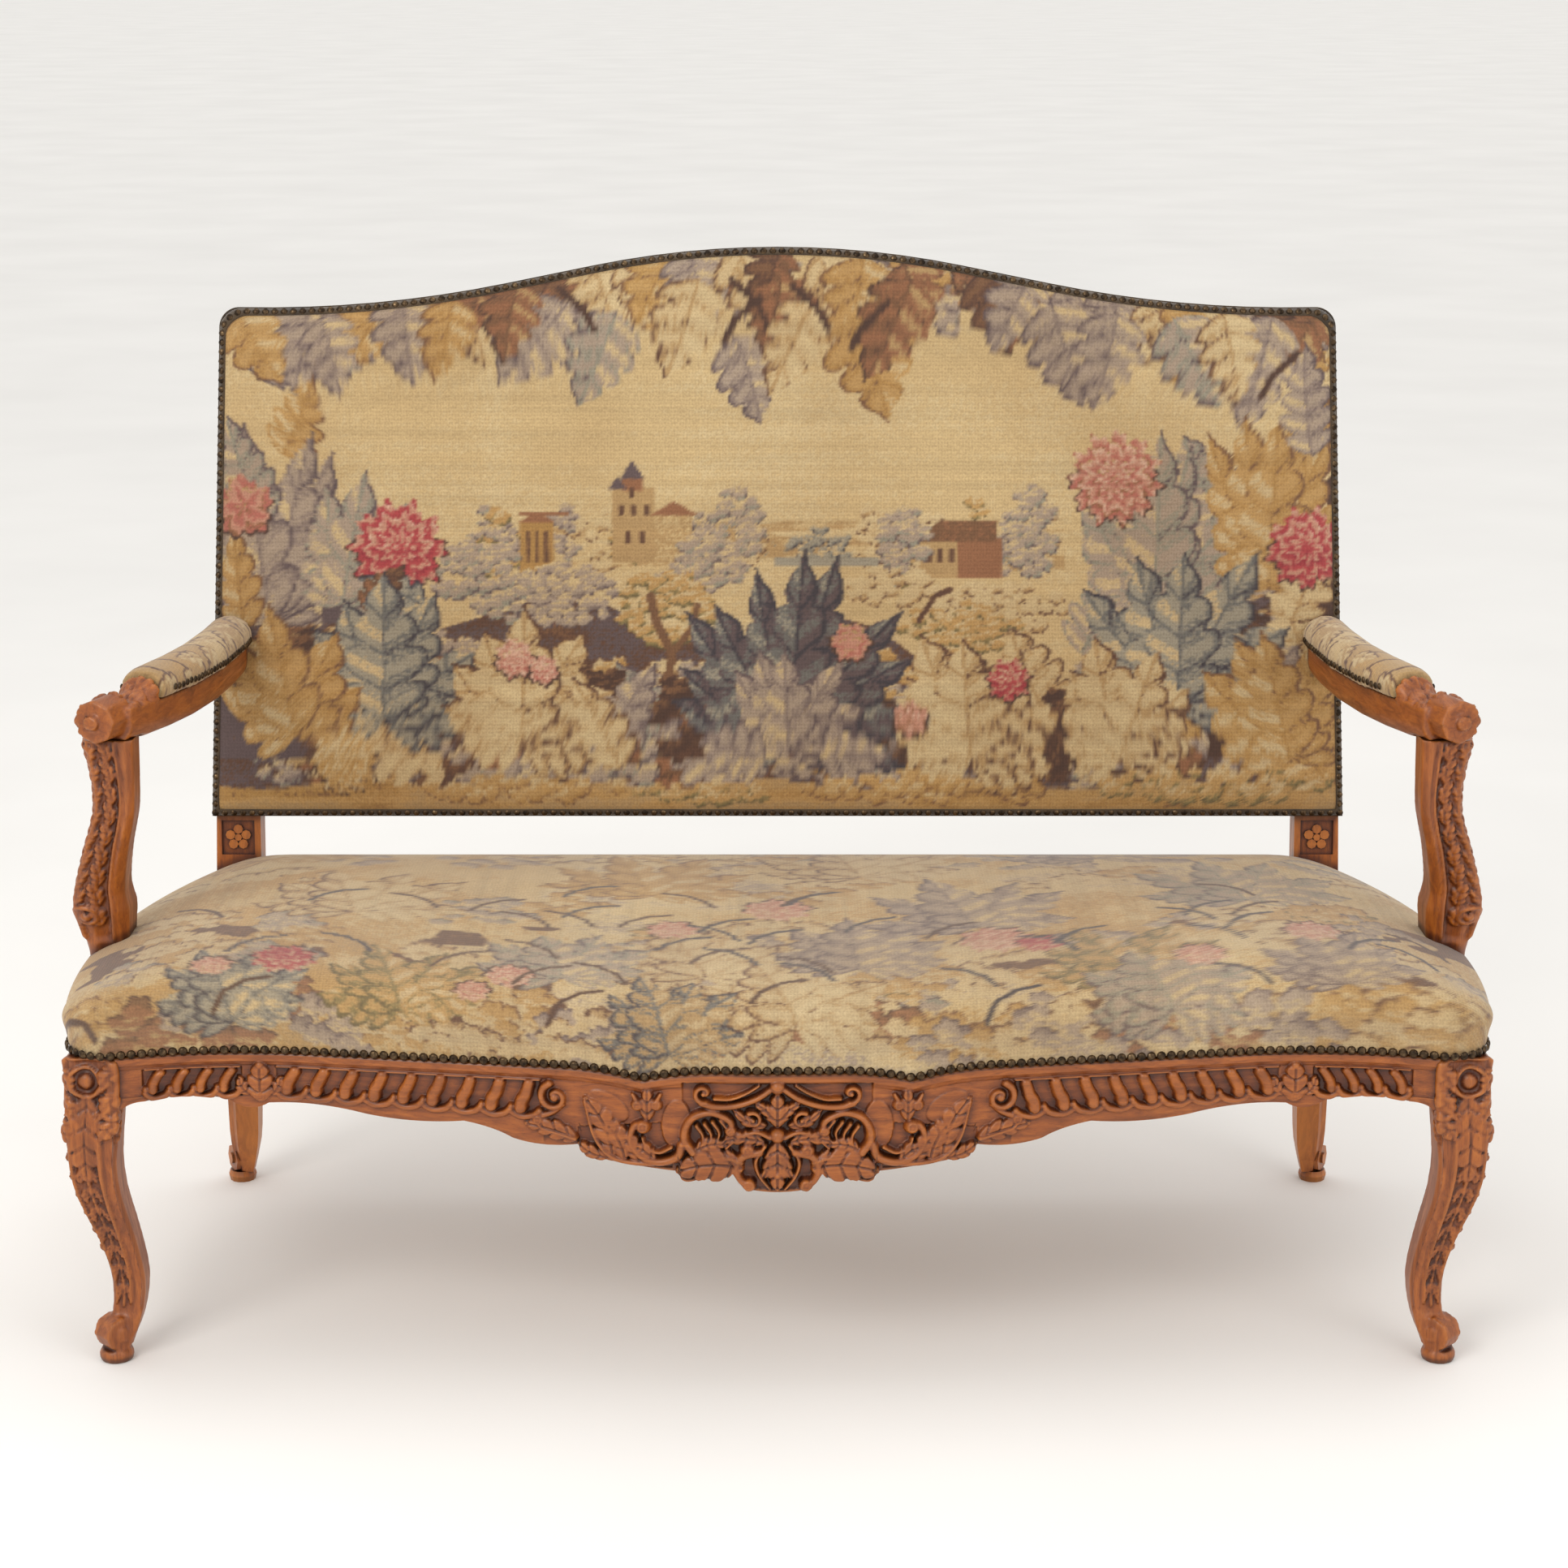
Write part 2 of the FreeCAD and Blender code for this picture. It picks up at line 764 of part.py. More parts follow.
# Leaf accents over the ribbon joint, scroll ends, sprays and the central cartouche
low_layer = both_sides([
    leaf(accent_x, 366, accent_x, 314, 19),
    scroll(249, 344, 17, 9, 60, 230),
    leaf(176, 277, 214, 346, 17, 5),
    leaf(166, 276, 196, 318, 14, 6),
    leaf(182, 276, 232, 310, 14, -4),
    leaf(222, 300, 268, 316, 13, -5),
    scroll(148, 312, 27, 10, 180, 170),
    leaf(28, 288, 106, 262, 24, 7),
    leaf(128, 338, 148, 362, 10, 3),
    leaf(174, 338, 154, 362, 10, -3),
    scroll(73, 306, 29, 10, -75, 200),
    leaf(14, 356, 74, 362, 12, 5),
])
high_layer = both_sides([
    disc(253, 355, 6),
    disc(163, 329, 7),
    disc(75, 361, 7),
    disc(34, 306, 8),
    leaf(6, 330, 34, 354, 12, -4),
    leaf(20, 300, 86, 306, 13, 7),
]) + [
    leaf(0, 334, 0, 368, 15),
    disc(0, 318, 10),
    leaf(0, 304, 0, 244, 26),
]
carving += [applied(o, middle_of(o), ground, 4.0) for o in low_layer]
carving += [applied(o, middle_of(o), ground, 8.5) for o in high_layer]
front_rail = front_rail.multiFuse(carving)

# Rebate that the seat cover is nailed into, and the end tenons
rebate_top = [line(p(leg_inner_x + 5, rail_top + 5), p(-leg_inner_x - 5, rail_top + 5))]
rebate_low = show_line(leg_inner_x + 5, 0.0)
left_low, right_low = ends(rebate_low)
rebate_edges = rebate_low + [line(right_low, rebate_top[0].Vertexes[0].Point)] + rebate_top
rebate_edges = rebate_edges + [line(rebate_top[0].Vertexes[1].Point, left_low)]
rebate = upright_sheet(rebate_edges, rail_sheet_front, rail_sheet_back)
rebate = rebate.cut(rail_strip(bottom_blank, rail_top + 6, -cover_rebate - 1.0, -rail_thickness - 60))
front_rail = front_rail.cut(rebate)
front_rail = front_rail.fuse(front_tenon(0.0)).fuse(mirrored(front_tenon(0.0)))
front_rail = front_rail.cut(front_peg_hole).cut(mirrored(front_peg_hole))

# REAR LEGS AND STILES

rear_outer_x = rear_leg_inner_x + rear_leg_width
rear_centre_x = rear_leg_inner_x + rear_leg_width / 2
rear_front_y = frame_face_y - 3.0
rear_centre_y = rear_front_y + rear_leg_depth / 2


def rear_section(x, y, z, width, depth):
    """Section of a rear leg: flat inside, with a hollow run down its outer corner."""
    def q(u, v):
        return V(x + u * width, y + v * depth, z)

    return wire([
        line(q(-0.5, 0.5), q(-0.5, -0.5)),
        line(q(-0.5, -0.5), q(0.22, -0.5)),
        arc(q(0.22, -0.5), q(0.33, -0.33), q(0.5, -0.22)),
        line(q(0.5, -0.22), q(0.5, 0.5)),
        line(q(0.5, 0.5), q(-0.5, 0.5)),
    ])


# Height, backward kick, width and depth of the section
rear_leg_sections = [
    (leg_joint_low, 0.0, rear_leg_width, rear_leg_depth),
    (270.0, 1.0, 45.0, 44.0),
    (210.0, 5.0, 44.0, 42.0),
    (150.0, 11.0, 42.0, 40.0),
    (95.0, 18.0, 40.0, 38.0),
    (55.0, 23.0, 36.0, 34.0),
    (pad_height, rear_ankle_kick + 2.0, 20.0, 20.0),
]
rear_curve = [
    rear_section(rear_centre_x + kick * 0.25, rear_centre_y + kick, z, w, d)
    for z, kick, w, d in eased(rear_leg_sections, 2)
]
rear_shaft = skin(rear_curve, wood_sag)
rear_block = Part.Face(
    rear_section(rear_centre_x, rear_centre_y, leg_joint_low, rear_leg_width, rear_leg_depth)
)
rear_block = rear_block.extrude(V(0, 0, rail_top - leg_joint_low))
backward = V(0.55, 1, 0).normalize()
rear_toe_x = rear_centre_x + rear_ankle_kick * 0.25 + 7.0
rear_toe_y = rear_centre_y + rear_ankle_kick + 6.0
rear_toe_z = pad_height + rear_toe_radius - toe_sink

# The stile is sawn to a taper outside and stands on the leg; its top is a tenon for the crest
crest_low = crest_hollow - crest_depth
stile_top = crest_low + 1.0


def stile_outer(z):
    """Outer edge of the back frame at a height up the slope."""
    share = (z - back_low) / (crest_hollow - back_low)
    return back_side_low_x + (back_side_top_x - back_side_low_x) * share - cover_thickness - 2 * soft_gap


stile_points = [
    p(stile_inner_x, rail_top - 6),
    p(stile_outer_low_x, rail_top - 6),
    p(stile_outer(back_low), back_low),
    p(stile_outer(crest_low), crest_low),
    p(stile_inner_x, crest_low),
]
stile = Part.Face(polygon(stile_points)).extrude(V(0, stile_depth, 0))
stile.translate(V(0, frame_face_y, 0))
crest_tenon_x = stile_inner_x + 12.0
tenon_front_y = frame_face_y + (stile_depth - tenon_thickness) / 2


def crest_tenon(grow):
    return box(
        crest_tenon_x - grow, crest_tenon_x + 18 + grow, tenon_front_y - grow,
        tenon_front_y + tenon_thickness + grow, crest_low - 1, crest_low + tenon_length + grow,
    )


def lower_rail_tenon(grow):
    return box(
        stile_inner_x - 1, stile_inner_x + tenon_length + grow, tenon_front_y - grow,
        tenon_front_y + tenon_thickness + grow,
        back_low + 8 - grow, back_low + lower_rail_height - 8 + grow,
    )


# Rosette: five petals round a bead in a sunk panel, in the gap above the seat
rosette_x = (stile_inner_x + stile_outer_low_x) / 2
panel = box(
    rosette_x - rosette_panel_width / 2, rosette_x + rosette_panel_width / 2,
    frame_face_y - 1, frame_face_y + rosette_recess,
    rosette_centre_z - rosette_panel_height / 2, rosette_centre_z + rosette_panel_height / 2,
)
petals = []
for i in range(petal_count):
    turn = math.radians(90 + 360.0 * i / petal_count)
    centre = V(
        rosette_x + petal_circle * math.cos(turn), frame_face_y + 0.6,
        rosette_centre_z + petal_circle * math.sin(turn),
    )
    petals.append(boss(centre, Y_AXIS, petal_radius, rosette_recess))
bead = boss(V(rosette_x, frame_face_y, rosette_centre_z), Y_AXIS, bead_radius, rosette_recess + 0.6)
stile = stile.cut(panel).multiFuse(petals + [bead])
stile = stile.fuse(crest_tenon(0.0)).cut(lower_rail_tenon(mortise_clearance))

# Round tenon of the arm, in the raked stile
arm_rear_y = 272.0
arm_rear_x = rear_leg_inner_x + 16.0
arm_rear_z = 711.0


def arm_rear_dowel(grow):
    start = V(arm_rear_x, arm_rear_y - 12.0, arm_rear_z)
    return boss(start, Y_AXIS, dowel_radius + grow, dowel_length + 12.0 + grow)


back_tenon_y = rear_front_y + 18.0


def back_tenon(grow):
    return tenon_box(
        rear_leg_inner_x, rear_leg_inner_x + tenon_length, back_tenon_y,
        back_tenon_y + tenon_thickness, grow,
    )


rear_side_tenon_x = rear_leg_inner_x + rear_leg_width * 0.62


def rear_side_tenon(grow):
    return tenon_box(
        rear_side_tenon_x - tenon_thickness / 2, rear_side_tenon_x + tenon_thickness / 2,
        rear_front_y, rear_front_y + tenon_length - 10, grow,
    )


rear_peg_x = rear_leg_inner_x + 9.0
rear_peg_face = rear_front_y + rear_leg_depth
rear_peg = peg(rear_peg_x, rear_peg_face, peg_radius)
rear_peg_hole = peg(rear_peg_x, rear_peg_face, peg_radius + peg_clearance)
rear_leg = rear_shaft.multiFuse(
    [rear_block, raked(stile), foot_pad(rear_toe_x, rear_toe_y, pad_radius - 2, pad_height)]
    + scroll_toe(rear_toe_x, rear_toe_y, rear_toe_z, backward, rear_toe_radius, rear_toe_length)
)
rear_leg = rear_leg.cut(Part.makeCompound(
    [back_tenon(mortise_clearance), rear_side_tenon(mortise_clearance), arm_rear_dowel(mortise_clearance),
     rear_peg_hole]
))
save_pair("rear_leg", rear_leg)

# SIDE RAILS AND BACK RAIL

side_joint_y = leg_rear_y


def side_blank(outer, inner, low, high):
    """Part of the bowed side rail between two offsets of its outer curve."""
    middle_y = (side_joint_y + rear_front_y) / 2
    a, b, c = [V(side_x(y, outer), y, low) for y in (side_joint_y, middle_y, rear_front_y)]
    d, e, f = [V(side_x(y, inner), y, low) for y in (rear_front_y, middle_y, side_joint_y)]
    return face([arc(a, b, c), line(c, d), arc(d, e, f), line(f, a)]).extrude(V(0, 0, high - low))


side_rail = side_blank(-1.0, -side_rail_thickness, rail_low, show_edge)
side_rail = side_rail.fuse(side_blank(-cover_rebate, -side_rail_thickness, show_edge - 1, rail_top))
side_rail = side_rail.fuse(side_tenon(0.0)).fuse(rear_side_tenon(0.0))


def support_tenon(grow):
    return box(
        support_x - tenon_thickness / 2 - grow, support_x + tenon_thickness / 2 + grow,
        support_y - 15 - grow, support_y + 15 + grow, rail_top - 26 - grow, rail_top + 1,
    )


side_rail = side_rail.cut(support_tenon(mortise_clearance))
save_pair("side_rail", side_rail)

back_rail_y = rear_front_y + 5.0
back_rail = box(
    -rear_leg_inner_x, rear_leg_inner_x, back_rail_y, back_rail_y + back_rail_thickness, rail_low, rail_top
)
back_rail = back_rail.fuse(back_tenon(0.0)).fuse(mirrored(back_tenon(0.0)))
back_rail = back_rail.cut(rear_peg_hole).cut(mirrored(rear_peg_hole))

save("joint_pegs", Part.makeCompound([front_peg, rear_peg, mirrored(front_peg), mirrored(rear_peg)]))

# BRACES AND GLUE BLOCKS

brace_start = front_at(brace_x, -rail_thickness)[0] - brace_housing
brace_end = back_rail_y + brace_housing
brace_middle = (brace_start + brace_end) / 2
brace_edges = [
    line(V(0, brace_start, brace_top), V(0, brace_end, brace_top)),
    line(V(0, brace_end, brace_top), V(0, brace_end, brace_top - brace_height)),
    arc(
        V(0, brace_end, brace_top - brace_height),
        V(0, brace_middle, brace_top - brace_height + brace_sweep),
        V(0, brace_start, brace_top - brace_height),
    ),
    line(V(0, brace_start, brace_top - brace_height), V(0, brace_start, brace_top)),
]
brace = face(brace_edges).extrude(V(brace_width, 0, 0))
brace.translate(V(brace_x - brace_width / 2, 0, 0))


def brace_socket(y0, y1):
    g = mortise_clearance
    return box(
        brace_x - brace_width / 2 - g, brace_x + brace_width / 2 + g, y0 - g, y1 + g,
        brace_top - brace_height - g, brace_top + g,
    )


front_socket = brace_socket(brace_start, brace_start + 60)
rear_socket = brace_socket(back_rail_y - 5, brace_end)
front_rail = front_rail.cut(front_socket).cut(mirrored(front_socket))
back_rail = back_rail.cut(rear_socket).cut(mirrored(rear_socket))
save("front_rail", front_rail)
save("back_rail", back_rail)
save_pair("seat_brace", brace)

front_block_points = [
    V(leg_inner_x - block_leg, leg_front_y, block_low),
    V(leg_outer_x, leg_front_y, block_low),
    V(leg_outer_x, leg_rear_y + block_leg, block_low),
]
front_glue = Part.Face(polygon(front_block_points)).extrude(V(0, 0, block_top - block_low))
front_glue = front_glue.cut(rail_strip(bottom_blank, rail_top, 5.0, -rail_thickness - joint_gap))
front_glue = front_glue.cut(box(
    leg_inner_x - joint_gap, leg_outer_x + 10, leg_front_y - 10, leg_rear_y + joint_gap, 0, rail_top
))
front_glue = front_glue.cut(side_blank(5.0, -side_rail_thickness - joint_gap, bottom_blank, rail_top))
rear_inner_x = side_x(rear_front_y) - side_rail_thickness
rear_block_points = [
    V(rear_leg_inner_x - block_leg, back_rail_y - joint_gap, block_low),
    V(side_x(rear_front_y), back_rail_y - joint_gap, block_low),
    V(side_x(rear_front_y), rear_front_y - block_leg, block_low),
]
rear_glue = Part.Face(polygon(rear_block_points)).extrude(V(0, 0, block_top - block_low))
rear_glue = rear_glue.cut(side_blank(5.0, -side_rail_thickness - joint_gap, bottom_blank, rail_top))
rear_glue = rear_glue.cut(box(
    rear_leg_inner_x - joint_gap, rear_outer_x + 30,
    rear_front_y - joint_gap, rear_front_y + 60, 0, rail_top
))
save_pair("glue_block_front", largest(front_glue))
save_pair("glue_block_rear", largest(rear_glue))

# BACK FRAME

frame_inset = cover_thickness + 2 * soft_gap


def back_outline(y, inset):
    """Outline of the back in its own upright plane at depth y, drawn in by the inset."""
    r = max(crest_corner_radius - inset, 6.0)

    def side(z):
        share = (z - back_low) / (crest_hollow - back_low)
        return back_side_low_x + (back_side_top_x - back_side_low_x) * share - inset

    corner_x = side(crest_hollow) - r
    top = bow_curve(
        crest_peak, crest_hollow, crest_hollow_x, crest_hollow_radius, crest_slope,
        corner_x, -inset, lambda x, z: V(x, y, z),
    )
    a, b = ends(top)
    low = back_low + inset
    shoulder_z = b.z - r
    shoulder = V(side(shoulder_z), y, shoulder_z)
    middle = V(b.x + (shoulder.x - b.x) * 0.72, y, shoulder_z + (b.z - shoulder_z) * 0.72)
    foot = V(side(low), y, low)

    def over(q):
        return V(-q.x, q.y, q.z)

    return wire(top + [
        arc(b, middle, shoulder),
        line(shoulder, foot),
        line(foot, over(foot)),
        line(over(foot), over(shoulder)),
        arc(over(shoulder), over(middle), a),
    ])


def back_prism(y0, y1, inset):
    return Part.Face(back_outline(y0, inset)).extrude(V(0, y1 - y0, 0))


frame_back_y = frame_face_y + stile_depth
crest = back_prism(frame_face_y, frame_back_y, frame_inset)
crest_cut = bow_curve(
    crest_peak - crest_depth, crest_low, crest_hollow_x, crest_hollow_radius, crest_slope,
    stile_inner_x + joint_gap, 0.0, lambda x, z: V(x, frame_face_y - 5, z),
)
a, b = ends(crest_cut)
shoulder_x = stile_outer(back_low) + 20
low_cut = crest_cut + [
    line(b, V(b.x, b.y, crest_low + joint_gap)),
    line(V(b.x, b.y, crest_low + joint_gap), V(shoulder_x, b.y, crest_low + joint_gap)),
    line(V(shoulder_x, b.y, crest_low + joint_gap), V(shoulder_x, b.y, back_low - 40)),
    line(V(shoulder_x, b.y, back_low - 40), V(-shoulder_x, b.y, back_low - 40)),
    line(V(-shoulder_x, b.y, back_low - 40), V(-shoulder_x, b.y, crest_low + joint_gap)),
    line(V(-shoulder_x, b.y, crest_low + joint_gap), V(a.x, a.y, crest_low + joint_gap)),
    line(V(a.x, a.y, crest_low + joint_gap), a),
]
crest = crest.cut(face(low_cut).extrude(V(0, stile_depth + 10, 0)))
crest = crest.cut(crest_tenon(mortise_clearance)).cut(mirrored(crest_tenon(mortise_clearance)))


def upright_tenon(z0, z1, grow):
    half = upright_width / 2 - 8
    return box(
        -half - grow, half + grow, tenon_front_y - grow, tenon_front_y + tenon_thickness + grow, z0, z1
    )


upright_low = back_low + lower_rail_height
upright_high = crest_peak - crest_depth
upright = box(
    -upright_width / 2, upright_width / 2, frame_face_y, frame_face_y + back_rail_member_depth,
    upright_low, upright_high - 1.0,
)
upright = upright.fuse(upright_tenon(upright_low - tenon_length, upright_low + 1, 0.0))
upright = upright.fuse(upright_tenon(upright_high - 2, upright_high + tenon_length, 0.0))
crest = crest.cut(upright_tenon(
    upright_high - 10, upright_high + tenon_length + mortise_clearance, mortise_clearance
))
lower_rail = box(
    -stile_inner_x + joint_gap, stile_inner_x - joint_gap, frame_face_y,
    frame_face_y + back_rail_member_depth, back_low + frame_inset, back_low + lower_rail_height,
)
tenon_pair = lower_rail_tenon(0.0)
lower_rail = lower_rail.fuse(tenon_pair).fuse(mirrored(tenon_pair))
lower_rail = lower_rail.cut(upright_tenon(
    upright_low - tenon_length - mortise_clearance, upright_low + 1, mortise_clearance
))
save("crest_rail", raked(crest))
save("back_lower_rail", raked(lower_rail))
save("back_upright", raked(upright))

# ARMS


def arm_section(x, y, z, width, height, heading):
    """Section of the arm rail: flat on top for the pad, rounded below."""
    across = V(heading.y, -heading.x, 0).normalize() * -1
    c = V(x, y, z)

    def q(u, v):
        return c + across * (u * width) + V(0, 0, v * height)

    return wire([
        line(q(-0.5, 0.5), q(0.5, 0.5)),
        line(q(0.5, 0.5), q(0.5, -0.05)),
        arc(q(0.5, -0.05), q(0.0, -0.5), q(-0.5, -0.05)),
        line(q(-0.5, -0.05), q(-0.5, 0.5)),
    ])


def arm_station(t):
    """Centre of the arm and its heading, from the stile at 0 to the volute at 1."""
    y = arm_rear_y - 1.0 + (volute_y + 8.0 - arm_rear_y) * t
    flare = t ** 2.4
    x = arm_rear_x + (volute_x - 8.0 - arm_rear_x) * flare
    z = arm_rear_z + (volute_z - 10.0 - arm_rear_z) * t ** 2
    slope = (volute_x - 8.0 - arm_rear_x) * 2.4 * t ** 1.4 / (volute_y + 8.0 - arm_rear_y)
    return x, y, z, V(-slope, -1, 0).normalize() * 1.0


def arm_heading(t):
    step = 0.02
    x0, y0, z0, h0 = arm_station(max(0.0, t - step))
    x1, y1, z1, h1 = arm_station(min(1.0, t + step))
    return V(x1 - x0, y1 - y0, 0).normalize()


arm_steps = [0.0, 0.2, 0.4, 0.6, 0.75, 0.88, 1.0]
arm_sections = []
for t in arm_steps:
    x, y, z, unused = arm_station(t)
    width = arm_rear_width + (arm_front_width - arm_rear_width) * t
    arm_sections.append(arm_section(x, y, z, width, arm_height, arm_heading(t)))
arm = skin(arm_sections, wood_sag)

volute_axis = V(0.35, -0.94, 0).normalize()
volute_start = V(volute_x, volute_y, volute_z) - volute_axis * (volute_length / 2)
volute = boss(volute_start, volute_axis, volute_radius, volute_length)
volute_eye = boss(
    volute_start - volute_axis * 0.5, volute_axis, volute_eye_radius, volute_length + 2.5 * volute_eye_height
)

# Carved lip that stands up in front of the pad
lip_t = 0.86
lip_x, lip_y, lip_z, unused = arm_station(lip_t)
lip_heading = arm_heading(lip_t)
lip_across = V(-lip_heading.y, lip_heading.x, 0)
lip_base = V(lip_x, lip_y, lip_z + arm_height / 2 - 2)
lip_half = arm_pad_width / 2 - 1


def lip_section(shift, half, rise):
    c = lip_base + lip_heading * shift
    return wire([
        line(c - lip_across * half, c + lip_across * half),
        arc(c + lip_across * half, c + V(0, 0, rise), c - lip_across * half),
    ])


lip = skin([
    lip_section(26.0, arm_front_width * 0.42, 9.0),
    lip_section(12.0, arm_front_width * 0.5, 13.0),
    lip_section(0.0, arm_front_width * 0.56, arm_pad_height - 7),
], wood_sag)
arm = arm.multiFuse([volute, volute_eye, lip])
support_head_x = support_x - 21.0
support_head_y = support_y - 50.0
arm = arm.cut(box(
    support_head_x - 34, support_head_x + 36, support_head_y - 25, support_head_y + 26,
    support_top - 30, support_top
))


def support_dowel(grow):
    start = V(support_head_x - 4, support_head_y + 2, support_top - 2)
    return boss(start, Z_AXIS, dowel_radius + grow, dowel_length + 2 + grow)


# SUPPORTS


def support_section(x, y, z, width, depth):
    """Section of the arm support: flat inner side, rounded and reeded front."""
    def q(u, v):
        return V(x + u * width, y - v * depth, z)

    return wire([
        line(q(-0.5, -0.5), q(0.5, -0.5)),
        line(q(0.5, -0.5), q(0.5, 0.2)),
        arc(q(0.5, 0.2), q(0.42, 0.42), q(0.2, 0.5)),
        arc(q(0.2, 0.5), q(-0.06, 0.45), q(-0.32, 0.5)),
        line(q(-0.32, 0.5), q(-0.5, 0.36)),
        line(q(-0.5, 0.36), q(-0.5, -0.5)),
    ])


# Height, outward and backward shift from the foot, width and depth of the section
support_stations = [
    (rail_top, 0.0, 0.0, 44.0, 50.0),
    (440.0, 0.0, 0.0, 48.0, 54.0),
    (472.0, 2.5, -2.0, 58.0, 60.0),
    (494.0, 4.0, -6.0, 64.0, 62.0),
    (516.0, 4.0, -12.0, 58.0, 56.0),
    (545.0, -2.5, -24.0, 54.0, 50.0),
    (580.0, -12.0, -36.0, 50.0, 46.0),
    (618.0, -23.0, -43.0, 47.0, 44.0),
    (655.0, -25.0, -46.0, 48.0, 44.0),
    (688.0, -23.0, -48.0, 54.0, 46.0),
    (support_top, -21.0, -50.0, 60.0, 48.0),
]
support = skin([
    support_section(support_x + dx, support_y + dy, z, w, d)
    for z, dx, dy, w, d in eased(support_stations, 2)
], wood_sag)
support = support.fuse(support_dowel(0.0)).fuse(support_tenon(0.0))
arm = arm.cut(support_dowel(mortise_clearance))
arm = arm.fuse(arm_rear_dowel(0.0))
stile_solid = raked(Part.Face(polygon(stile_points)).extrude(V(0, stile_depth, 0)).translated(
    V(0, frame_face_y, 0)
))
arm = arm.cut(stile_solid.cut(arm_rear_dowel(mortise_clearance)))
save_pair("arm", arm)
save_pair("arm_support", support)

# BACK UPHOLSTERY

# Depth in front of the frame and inset of the stuffing
back_layers = [
    (11.0, 0.5),
    (19.0, 7.0),
    (24.0, 26.0),
    (back_crown, 90.0),
]


def back_body(grow, rear):
    """Stuffed front of the back grown outwards, with a skirt that runs back to the rear depth."""
    base = 2 * soft_gap + cover_thickness
    sections = [
        back_outline(frame_face_y - depth - grow * (depth > 12), base + inset - grow)
        for depth, inset in [(-rear, 0.0)] + back_layers
    ]
    return skin(sections, back_sag)


def arm_passage(grow):
    """Room for the arm rail through the side of the back upholstery."""
    half = arm_rear_width / 2 + grow
    return box(
        arm_rear_x - half, arm_rear_x + half, 150, 320,
        arm_rear_z - arm_height / 2 - grow, arm_rear_z + arm_height / 2 + grow,
    )


passages = Part.makeCompound([arm_passage(1.0), mirrored(arm_passage(1.0))])
outer_grow = soft_gap + cover_thickness
back_stuffing = raked(back_body(0.0, -1.0)).cut(passages)
back_shell = back_body(outer_grow, skirt_back)
back_room = back_body(soft_gap, skirt_back + 1.0)
back_cover = raked(back_shell.cut(back_room)).cut(passages)
stile_gap = raked(box(
    stile_inner_x - 1, stile_outer_low_x + 1, frame_face_y - soft_gap,
    frame_face_y + stile_depth + 1, rail_top, back_low + 4,
))
back_cover = back_cover.cut(stile_gap).cut(mirrored(stile_gap))
outside_cover = raked(back_prism(
    frame_back_y + soft_gap, frame_back_y + soft_gap + outside_cover_thickness, frame_inset
))
braid = raked(
    back_prism(frame_face_y - 8.0, frame_face_y - 8.0 + braid_width, -braid_thickness).cut(
        back_prism(frame_face_y - 10.0, frame_face_y + braid_width, 0.0)
    )
)
save("back_stuffing", back_stuffing)
save("back_cover", back_cover)
save("outside_back_cover", outside_cover)
save("back_braid", braid)

# ARM PADS


def pad_section(t, half, rise):
    """Arm pad: flat underneath, drawn in at the sides and crowned on top."""
    x, y, z, unused = arm_station(t)
    heading = arm_heading(t)
    across = V(-heading.y, heading.x, 0)
    c = V(x, y, z + arm_height / 2 + soft_gap)
    up = V(0, 0, 1)
    side_r = c + across * half * 1.02 + up * (rise * 0.36)
    side_l = c - across * half * 1.02 + up * (rise * 0.36)
    top_r = c + across * half * 0.86 + up * (rise * 0.70)
    top_l = c - across * half * 0.86 + up * (rise * 0.70)
    foot_r = c + across * half * 0.92
    foot_l = c - across * half * 0.92
    return wire([
        line(foot_l, foot_r),
        arc(foot_r, side_r, top_r),
        arc(top_r, c + up * rise, top_l),
        arc(top_l, side_l, foot_l),
    ])


pad_end_t = (arm_pad_front_y - arm_rear_y) / (volute_y + 8.0 - arm_rear_y)
pad_steps = [-0.02, 0.2, 0.45, 0.65, pad_end_t - 0.03, pad_end_t]
pad_sizes = [(0.92, 0.96), (0.98, 1.0), (1.0, 1.0), (1.0, 0.98), (0.96, 0.94), (0.9, 0.84)]
pad_sections = [
    pad_section(max(t, 0.0) if t > 0 else 0.0, arm_pad_width / 2 * w, arm_pad_height * h)
    for t, (w, h) in zip(pad_steps, pad_sizes)
]
pad = skin(pad_sections, wood_sag)
pad = pad.cut(raked(box(
    0, side_front_x, frame_face_y - back_crown - outer_grow - 2 * soft_gap, frame_back_y + 60,
    back_low, crest_peak,
)))
save_pair("arm_pad", pad)

# SEAT UPHOLSTERY

web_base = rail_top + web_thickness + web_gap / 2
layer = (web_thickness + web_gap) / 2


def web_positions(count, pitch):
    return [(i - (count - 1) / 2) * pitch for i in range(count)]


def woven_strip(start, end, crossings, first_up, thickness, level):
    """Edge-on outline of a web that goes over and under the webs it crosses."""
    half = web_width / 2 + 8
    reach = [(start, -1)]
    for i, at in enumerate(crossings):
        sign = 1 if (i + first_up) % 2 == 0 else -1
        reach.append((at - half, sign))
        reach.append((at + half, sign))
    reach.append((end, -1))
    path = [(s, level + sign * layer) for s, sign in reach]
    upper = [(s, z + thickness / 2) for s, z in path]
    lower = [(s, z - thickness / 2) for s, z in reversed(path)]
    return upper + lower


